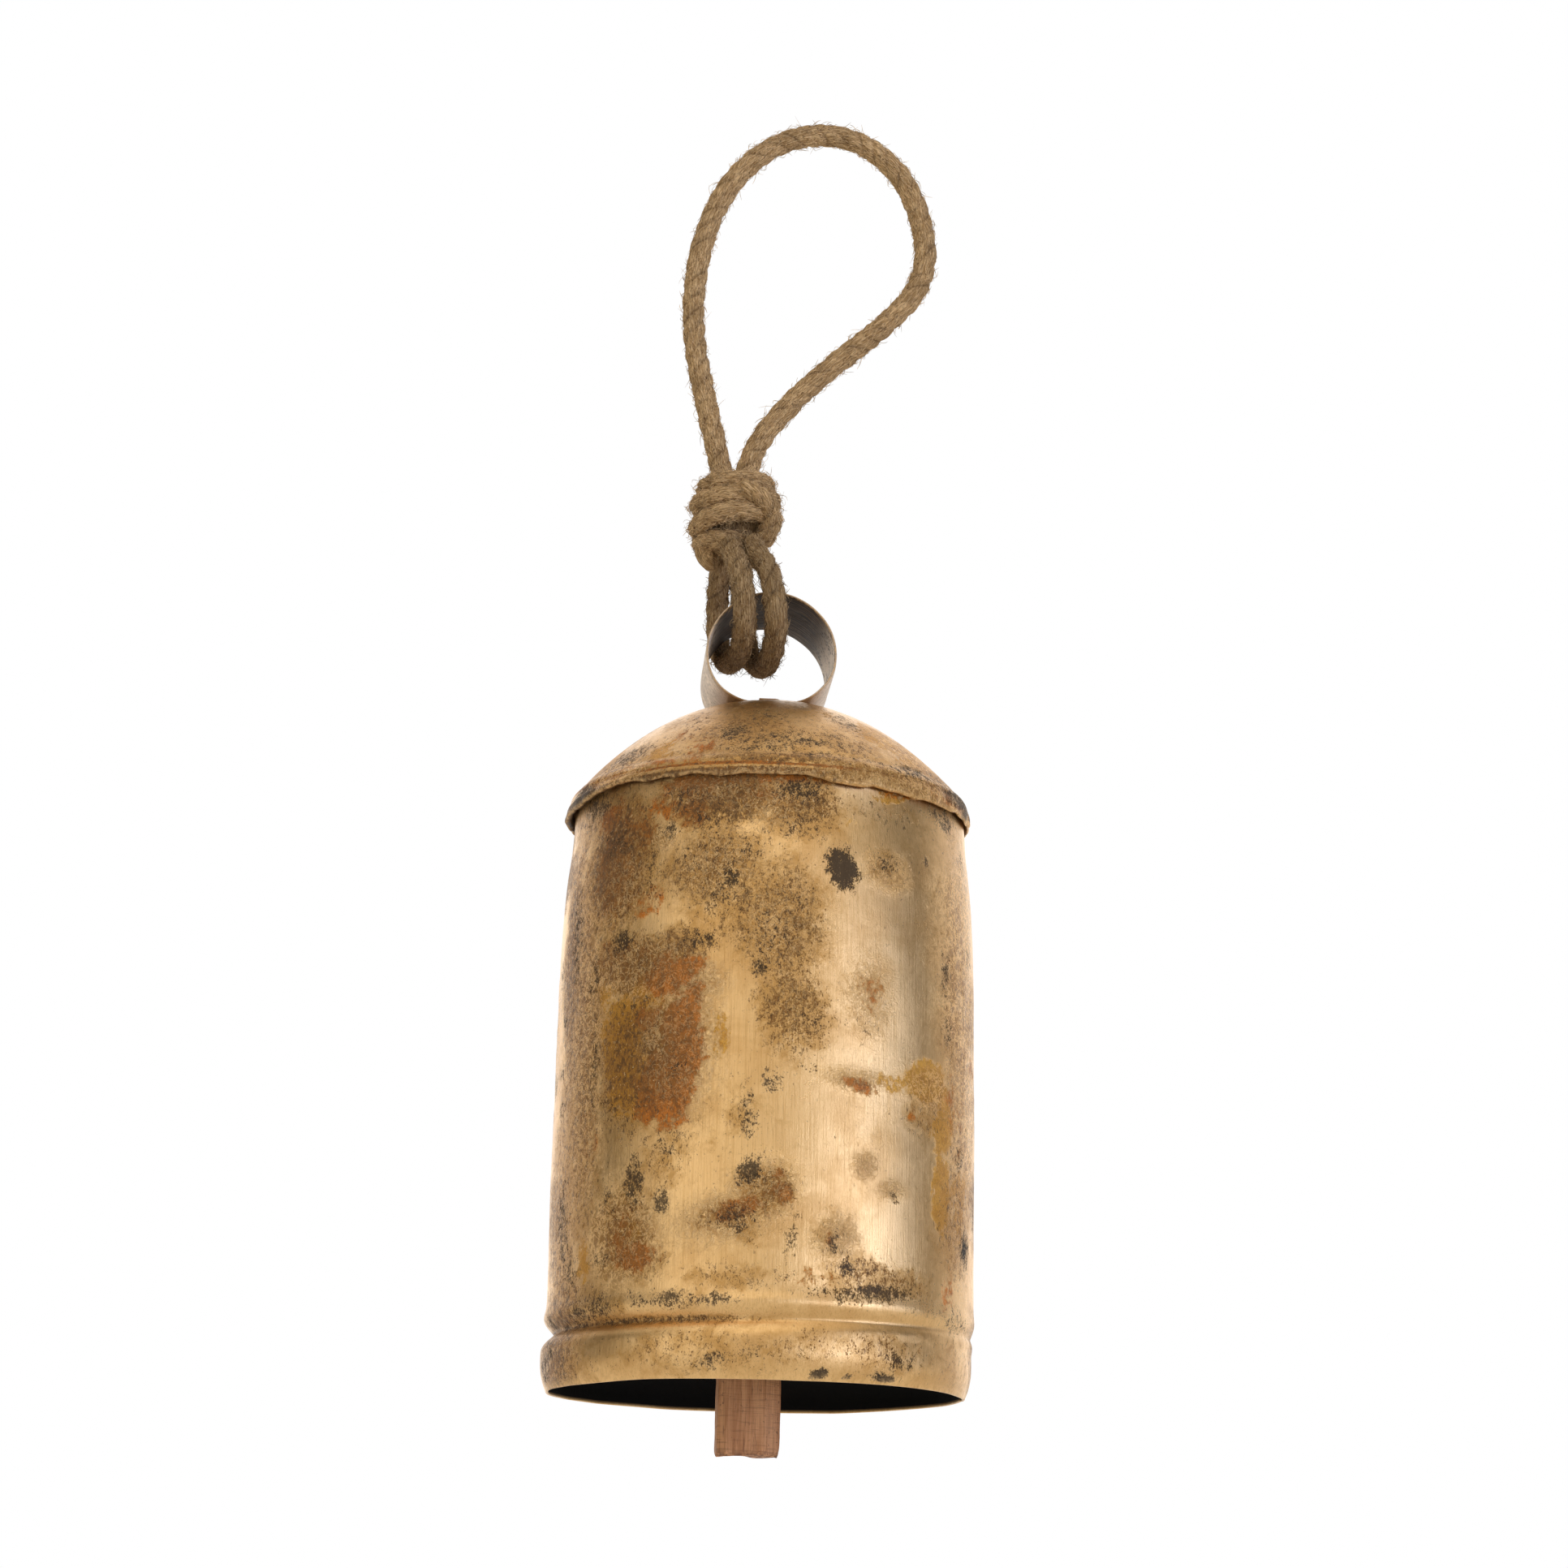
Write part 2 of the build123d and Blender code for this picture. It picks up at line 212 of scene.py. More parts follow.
# material tools
class Finish:
    # a node tree with short calls for the few kinds of node that every finish here uses
    def __init__(self, name):
        self.material = bpy.data.materials.new(name)
        self.material.use_nodes = True
        self.tree = self.material.node_tree
        self.surface = self.tree.nodes["Principled BSDF"]
        where = self.add("ShaderNodeTexCoord")
        self.spot = self.scaled(where.outputs["Object"], (1000, 1000, 1000))   # millimetres

    # a new node of one kind, with its settings
    def add(self, kind, **facts):
        node = self.tree.nodes.new(kind)
        for key, value in facts.items():
            setattr(node, key, value)
        return node

    # a socket is linked; a number, vector or colour is set on the socket itself
    def put(self, socket, value):
        if isinstance(value, bpy.types.NodeSocket):
            self.tree.links.new(value, socket)
        elif socket.type == "RGBA":
            socket.default_value = (*value, 1.0)
        else:
            socket.default_value = value

    # each named input gets its value; the first output comes back
    def fill(self, node, facts):
        for name, value in facts.items():
            self.put(node.inputs[name], value)
        return node.outputs[0]

    # vector * by + shift, axis by axis
    def scaled(self, vector, by, shift=(0, 0, 0)):
        return self.fill(self.add("ShaderNodeVectorMath", operation="MULTIPLY_ADD"), {0: vector, 1: by, 2: shift})

    # one sum of up to three values, held to 0 and 1 when clamped
    def math(self, kind, a, b=0.0, c=0.0, clamp=False):
        return self.fill(self.add("ShaderNodeMath", operation=kind, use_clamp=clamp), {0: a, 1: b, 2: c})

    # a * b
    def times(self, a, b):
        return self.math("MULTIPLY", a, b)

    # base + a * by
    def added(self, base, a, by, clamp=False):
        return self.math("MULTIPLY_ADD", a, by, base, clamp)

    # base + (noise - 1/2) * by
    def nudged(self, base, noise, by):
        return self.added(base, self.math("SUBTRACT", noise, 0.5), by)

    # the largest of several
    def most(self, first, *others):
        for other in others:
            first = self.math("MAXIMUM", first, other)
        return first

    # fractal noise of the place times stretch plus shift, about 1/2
    def noise(self, scale, detail=4.0, rough=0.55, twist=0.0, stretch=(1, 1, 1), shift=(0, 0, 0), where=None):
        return self.fill(self.add("ShaderNodeTexNoise"), {
            "Vector": self.scaled(where or self.spot, stretch, shift),
            "Scale": scale, "Detail": detail, "Roughness": rough, "Distortion": twist})

    # a number or vector kept on the piece's points
    def mark(self, name, vector=False):
        node = self.add("ShaderNodeAttribute", attribute_name=name)
        return node.outputs["Vector" if vector else "Fac"]

    # top * (3t^2 - 2t^3) while the value goes from low to high
    def between(self, value, low, high, top=1.0):
        return self.fill(self.add("ShaderNodeMapRange", interpolation_type="SMOOTHSTEP"), {
            "Value": value, "From Min": low, "From Max": high, "To Max": top})

    # a soft mask becomes a ragged one: mask plus noise about its middle, through a steep ease
    def ragged(self, mask, noise, spread, low, high, top):
        return self.between(self.nudged(mask, noise, spread), low, high, top)

    # a (1 - factor) + b factor, for colours
    def blend(self, factor, a, b):
        node = self.add("ShaderNodeMix", data_type="RGBA", blend_type="MIX")
        self.fill(node, {0: factor, 6: a, 7: b})
        return node.outputs[2]

    # a normal tilted by the slope of height * depth, over the one below
    def bump(self, height, depth, below=None):
        node = self.add("ShaderNodeBump")
        self.fill(node, {"Height": height, "Distance": depth})
        if below is not None:
            self.put(node.inputs["Normal"], below)
        return node.outputs[0]

    # the surface gets its values, and the material is ready
    def done(self, colour, metal, rough, normal=None, specular=0.5):
        self.fill(self.surface, {"Base Color": colour, "Metallic": metal, "Roughness": rough,
                                 "Specular IOR Level": specular})
        if normal is not None:
            self.put(self.surface.inputs["Normal"], normal)
        return self.material


# rope
jute = {
    "wornColour": (0.80, 0.53, 0.262),
    "colour": (0.46, 0.272, 0.112),
    "deepColour": (0.120, 0.060, 0.024),
    "fibreColour": (0.80, 0.53, 0.265),
    # shade: painted shade, the jute's colours times this for the bights under the knot and the knot's core
    "shade": 0.66,               # how much darker the bights under the knot are
    "radius": 3.2,               # mm
    "pitch": 16.2,               # mm of rope for one turn of a strand
    "step": 0.55,                # mm between rings of points
    "strandWander": (0.55, 8.0),                      # radians that a strand strays, over how many mm
    "swell": (0.035, 3, 6.0),                         # part of the radius, cells round, mm along
    "tufts": ((0.13, 14, 3.0), (0.12, 40, 1.3)),      # mm high, cells round, mm along
    "endLength": 2.2,                                 # mm over which an end rounds off
    "fibreSides": 3,
    "fibreRings": (1, 1, 0.95, 0.85, 0.7, 0.35),      # thickness along a fibre
    "fibreThick": 0.085,                              # mm
    "fibreLift": 0.40,
}


# jute: brown strands, streaked along their fibres, with painted shade in the grooves, and paler where they are rubbed
def juteFinish(name, shade=1.0):
    f = Finish(name)
    lay, groove = f.mark("lay", vector=True), f.mark("groove")
    worn, body, deep = (shaded(jute[k], shade) for k in ("wornColour", "colour", "deepColour"))
    streak = f.noise(1.0, 5, 0.62, 0.4, (2.6, 2.6, 0.34), where=lay)
    fine = f.noise(1.0, 3, 0.6, 0.2, (7.5, 7.5, 0.9), (3.1, 0, 0), where=lay)
    blotch = f.noise(1.0, 3, 0.5, 0.0, (0.16, 0.16, 0.12), (0, 7.7, 0), where=lay)
    pit = f.noise(1.0, 2, 0.5, 0.0, (1.9, 1.9, 1.1), (0, 0, 5.3), where=lay)
    colour = f.blend(f.between(streak, 0.42, 0.60), body, worn)
    colour = f.blend(f.between(fine, 0.50, 0.36, 0.86), colour, deep)
    colour = f.blend(f.between(blotch, 0.56, 0.30, 0.40), colour, shaded(body, 0.55))
    # painted shade: darker towards the deep colour where the groove between strands is deepest, broken up by blotch
    # noise
    colour = f.blend(f.times(f.between(groove, 0.50, 1.0, 0.62), f.between(blotch, 0.62, 0.36)), colour, deep)
    colour = f.blend(f.between(pit, 0.38, 0.30, 0.85), colour, deep)
    height = f.added(f.times(streak, 0.65), fine, 0.35)
    return f.done(colour, 0.0, 0.92, f.bump(height, 0.0011), 0.18)


# loose fibres: pale jute, blended to about a third of its brightness by noise
def fibreFinish(name, shade=1.0):
    f = Finish(name)
    pale = shaded(jute["fibreColour"], shade)
    colour = f.blend(f.between(f.noise(0.9, 2), 0.35, 0.65), shaded(pale, 0.36), pale)
    return f.done(colour, 0.0, 0.8, None, 0.25)


ropeJute = juteFinish("ropeJute")
# darker copies of the jute and the loose fibres: painted shade for the bights and the knot's core
shadedJute = juteFinish("shadedJute", jute["shade"])
fibreJute = fibreFinish("looseFibre")
shadedFibre = fibreFinish("shadedFibre", jute["shade"])

# the three runs of rope, in metres: the big loop, and the two bights that hold the strap
loopPoints = [
    (-0.0132, 0.0, -0.1075), (-0.0149, 0.0004, -0.0999), (-0.0194, 0.0008, -0.0810), (-0.0249, 0.0009, -0.0564),
    (-0.0239, 0.0002, -0.0310), (-0.0156, -0.0003, -0.0086), (-0.0004, 0.0, 0.0060), (0.0188, 0.0002, 0.0088),
    (0.0346, -0.0003, -0.0022), (0.0422, -0.0009, -0.0210), (0.0416, -0.0011, -0.0388), (0.0292, -0.0008, -0.0530),
    (0.0148, 0.0003, -0.0650), (0.0029, 0.0, -0.0774), (-0.0056, -0.0005, -0.0892), (-0.0088, -0.0009, -0.0999),
    (-0.0098, -0.0004, -0.1075)]
leftPoints = [
    (-0.0128, -0.0050, -0.1200), (-0.0124, -0.0105, -0.1262), (-0.0106, -0.0196, -0.1338),
    (-0.0090, -0.0214, -0.1460), (-0.0086, -0.0110, -0.1522), (-0.0108, 0.0110, -0.1522), (-0.0136, 0.0206, -0.1464),
    (-0.0148, 0.0200, -0.1350), (-0.0148, 0.0107, -0.1262), (-0.0140, 0.0050, -0.1200)]
rightPoints = [
    (-0.0070, -0.0050, -0.1200), (-0.0056, -0.0105, -0.1262), (-0.0024, -0.0198, -0.1338),
    (-0.0004, -0.0214, -0.1465), (-0.0002, -0.0105, -0.1530), (-0.0016, 0.0110, -0.1532), (-0.0050, 0.0206, -0.1470),
    (-0.0076, 0.0200, -0.1350), (-0.0084, 0.0105, -0.1262), (-0.0086, 0.0050, -0.1200)]


# the smooth line of a run, in mm: a NURBS of order 3 with the points as its control points, read back with no bevel
def routeLine(name, points):
    curve = bpy.data.curves.new(name, "CURVE")
    curve.dimensions = "3D"
    curve.resolution_u = 24
    spline = curve.splines.new("NURBS")
    spline.points.add(len(points) - 1)
    spline.points.foreach_set("co", np.hstack([np.array(points), np.ones((len(points), 1))]).ravel())
    spline.order_u = 3
    spline.use_endpoint_u = True
    holder = addPiece(name, curve)
    bpy.context.view_layer.update()
    mesh = bpy.data.meshes.new_from_object(holder)
    line = np.zeros(len(mesh.vertices) * 3, np.float32)
    mesh.vertices.foreach_get("co", line)
    bpy.data.objects.remove(holder)
    bpy.data.meshes.remove(mesh)
    bpy.data.curves.remove(curve)
    return line.reshape(-1, 3).astype(float) * 1000


# length so far at each point of a line: the running sum of the distances between neighbours
def runLength(line):
    return np.concatenate([[0], np.cumsum(np.linalg.norm(np.diff(line, axis=0), axis=1))])


# equal steps along a line of points, with the length so far at each
def evenSteps(line, step):
    run = runLength(line)
    s = np.linspace(0, run[-1], max(8, int(run[-1] / step)))
    return np.stack([np.interp(s, run, line[:, k]) for k in range(3)], -1), s


# tangent and the two directions square to it at each point; "beside" is a direction that the line never runs along
def squareTo(line, beside):
    t = np.gradient(line, axis=0)
    t /= np.linalg.norm(t, axis=1, keepdims=True)
    a = np.cross(t, np.array(beside, float))
    a /= np.linalg.norm(a, axis=1, keepdims=True)
    return t, a, np.cross(t, a)


# laid rope: the outline of three round strands turning about the line once in each pitch, roughened by fibre noise;
# r = a cos(q) + sqrt(s^2 - a^2 sin(q)^2), q the angle from the nearest strand's middle, a = full * radius,
# s = radius - a
def ropeSurface(name, line, beside, material, seed, radius=jute["radius"], pitch=jute["pitch"], around=40, full=0.24):
    line, s = evenSteps(line, jute["step"])
    _, a, b = squareTo(line, beside)
    angle = np.linspace(0, 2 * np.pi, around, endpoint=False)[None, :]
    along = s[:, None] + 0 * angle
    stray, strayLength = jute["strandWander"]
    wander = stray * runNoise(along, strayLength, seed + 40)
    q = np.mod(angle - 2 * np.pi * along / pitch + wander, 2 * np.pi / 3) - np.pi / 3
    strand = radius * (1 - full)
    out = radius * full * np.cos(q) + np.sqrt(strand**2 - (radius * full * np.sin(q))**2)
    groove = (radius - out) / (radius * (1 - full * 0.5 - np.sqrt((1 - full)**2 - 0.75 * full**2)))
    u = angle / (2 * np.pi)
    size, count, cell = jute["swell"]
    out = out * (1 + size * skinNoise(u, along, count, cell, seed + 1))
    for k, (size, count, cell) in enumerate(jute["tufts"]):
        out = out + size * skinNoise(u, along, count, cell, seed + 2 + k)
    out = out * np.sqrt(np.clip(0.12 + np.minimum(along, s[-1] - along) / jute["endLength"], 0, 1))
    around3d = np.cos(angle)[..., None] * a[:, None] + np.sin(angle)[..., None] * b[:, None]
    points = line[:, None] + out[..., None] * around3d
    lay = np.stack([radius * np.cos(angle) + 0 * along, radius * np.sin(angle) + 0 * along, along + 31.0 * seed], -1)
    return gridPiece(name, points, material, groove=np.clip(groove, 0, 1), lay=lay)


# loose fibres: short three-sided hairs that leave the rope's skin mostly along it and curl away,
# p = start + L (d k + e k^2 + w sin(pi k)), k from 0 to 1, thinner towards the tip
def fibres(name, line, beside, count, seed, radius=jute["radius"], longest=3.1, stray=0.45, material=fibreJute):
    rng = np.random.default_rng(seed)
    line, _ = evenSteps(line, 0.8)
    t, a, b = squareTo(line, beside)
    at = rng.uniform(1, len(line) - 2, count)
    low, part = at.astype(int), (at % 1)[:, None]
    mix = lambda v: v[low] * (1 - part) + v[low + 1] * part
    turn = rng.uniform(0, 2 * np.pi, count)[:, None]
    out = np.cos(turn) * mix(a) + np.sin(turn) * mix(b)
    side = np.cross(mix(t), out)
    start = mix(line) + out * radius * 0.90
    size = (0.8 + (longest - 0.8) * rng.random(count)**2.2)[:, None]
    sway = rng.choice([-1.0, 1.0], (count, 1)) * 0.9
    d = sway * mix(t) + jute["fibreLift"] * rng.random((count, 1)) * out + rng.normal(0, stray, (count, 1)) * side
    d /= np.linalg.norm(d, axis=1, keepdims=True)
    e = rng.normal(-0.08, 0.30, (count, 1)) * out + rng.normal(0, 0.40, (count, 1)) * side
    w = rng.normal(0.12, 0.12, (count, 1)) * out + rng.normal(0, 0.12, (count, 1)) * side
    rings, sides = len(jute["fibreRings"]), jute["fibreSides"]
    k = np.linspace(0, 1, rings)[None, :, None]
    path = start[:, None] + size[:, None] * (d[:, None] * k + e[:, None] * k**2 + w[:, None] * np.sin(np.pi * k))
    core = np.cross(d, out)
    core /= np.linalg.norm(core, axis=1, keepdims=True) + 1e-9
    other = np.cross(d, core)
    thick = jute["fibreThick"] * rng.uniform(0.55, 1.25, (count, 1)) * np.array([jute["fibreRings"]])
    spin = (np.arange(sides) * 2 * np.pi / sides)[None, None, :, None]
    skin = np.cos(spin) * core[:, None, None] + np.sin(spin) * other[:, None, None]
    verts = path[:, :, None] + thick[..., None, None] * skin
    first = np.arange(count) * rings * sides
    ring = first[:, None, None] + (np.arange(rings - 1) * sides)[None, :, None]
    c = np.arange(sides)[None, None, :]
    onward = (c + 1) % sides
    quads = np.stack([ring + c, ring + onward, ring + sides + onward, ring + sides + c], -1).reshape(-1, 4)
    tip = first + (rings - 1) * sides
    ends = np.vstack([np.stack([first + 2, first + 1, first], -1), np.stack([tip, tip + 1, tip + 2], -1)])
    mesh = bpy.data.meshes.new(name)
    mesh.from_pydata((verts.reshape(-1, 3) / 1000).tolist(), [], quads.tolist() + ends.tolist())
    mesh.polygons.foreach_set("use_smooth", np.ones(len(mesh.polygons), bool))
    mesh.update()
    mesh.materials.append(material)
    return addPiece(name, mesh)


# metres from end to end of a line in mm
def lengthOf(line):
    return float(runLength(line)[-1] / 1000)


loopLine = routeLine("loopRoute", loopPoints)
leftLine = routeLine("leftRoute", leftPoints)
rightLine = routeLine("rightRoute", rightPoints)
loopRope = ropeSurface("loopRope", loopLine, (0, 1, 0), ropeJute, 1)
leftBight = ropeSurface("leftBight", leftLine, (1, 0, 0), shadedJute, 2)
rightBight = ropeSurface("rightBight", rightLine, (1, 0, 0), shadedJute, 3)
loopFuzz = fibres("loopFuzz", loopLine, (0, 1, 0), 5200, 11)
leftFuzz = fibres("leftFuzz", leftLine, (1, 0, 0), 2200, 12, material=shadedFibre)
rightFuzz = fibres("rightFuzz", rightLine, (1, 0, 0), 2200, 13, material=shadedFibre)
print("rope runs", [round(lengthOf(x), 4) for x in (loopLine, leftLine, rightLine)])

# the knot: turns about the runs of rope, one strand slanting over them, a tail end, and the core that they squeeze;
# in millimetres
knot = {
    "centre": -11.3,
    "squash": 0.96,              # depth over width
    "turns": (0, .25, .5, .75, 1, 1.25, 1.5, 1.75, 2, 2.25, 2.5, 2.75, 3, 3.25, 3.45, 3.6),
    "heights": (-101.6, -103.8, -103.6, -102.7, -105.2, -108.8, -108.5, -107.2,
                -110.2, -115.4, -113.3, -112.9, -115.8, -119.6, -120.6, -120.4),
    "radii": (6.6, 8.4, 8.6, 8.4, 9.2, 10.1, 10.4, 10.2, 10.4, 10.4, 10.8, 10.6, 10.0, 9.1, 6.7, 4.2),
    "slant": [(-11.0, -8.4, -106.6), (-8.8, -11.0, -107.4), (-5.6, -11.9, -109.4), (-2.4, -10.2, -112.0),
              (-1.4, -7.4, -115.2), (-2.4, -5.6, -118.4), (-4.8, -4.2, -121.0)],
    "tail": [(-17.0, -2.5, -118.2), (-19.6, -1.4, -120.4), (-19.0, 0.6, -124.0), (-16.2, 2.4, -126.2)],
    "core": [(-11.3, 0, -101.0), (-11.2, 0, -112.0), (-11.0, 0, -124.5)],
}


# a helix keyed by turns: radius and height eased from key to key
def turnLine():
    t = np.linspace(0, knot["turns"][-1], 400)
    angle = np.pi / 2 + 2 * np.pi * t
    r = smoothThrough(t, knot["turns"], knot["radii"])
    z = smoothThrough(t, knot["turns"], knot["heights"])
    return np.stack([knot["centre"] + r * np.cos(angle), knot["squash"] * r * np.sin(angle), z], -1)


# a smooth path of 80 points through a few given ones, keyed by the length so far
def pathThrough(points):
    points = np.array(points, float)
    run = runLength(points)
    return smoothThrough(np.linspace(0, run[-1], 80), run, points)


turnPath, slantPath, tailPath, corePath = turnLine(), *(pathThrough(knot[k]) for k in ("slant", "tail", "core"))
slantBeside = (1, 0.3, 0)
knotTurns = ropeSurface("knotTurns", turnPath, (0, 0, 1), ropeJute, 5, 2.85, 13.0, 42, 0.25)
knotSlant = ropeSurface("knotSlant", slantPath, slantBeside, ropeJute, 6, 2.85, 13.0, 42, 0.30)
knotTail = ropeSurface("knotTail", tailPath, (0, 1, 0), ropeJute, 7, 2.7, around=36)
knotCore = ropeSurface("knotCore", corePath, (0, 1, 0), shadedJute, 8, 6.6, 60.0, 36)
knotFuzz = fibres("knotFuzz", turnPath, (0, 0, 1), 4600, 14, radius=3.0, longest=3.2, stray=0.6)
slantFuzz = fibres("slantFuzz", slantPath, slantBeside, 520, 15, radius=2.75, longest=3.2, stray=0.6)

onRope = (loopRope, loopFuzz, knotTurns, knotSlant, knotTail, knotCore, knotFuzz, slantFuzz)
onSling = (leftBight, rightBight, leftFuzz, rightFuzz)
for piece in onRope:
    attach(piece, "rope")
for piece in onSling:
    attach(piece, "sling")
for piece, node in ((loopRope, "rope_loop"), (knotTurns, "rope_knot"),
                    (leftBight, "rope_bight_left"), (rightBight, "rope_bight_right")):
    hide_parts(node)

print("knot tied")

# bell body
rim = -355.4     # height of the bell's mouth, mm

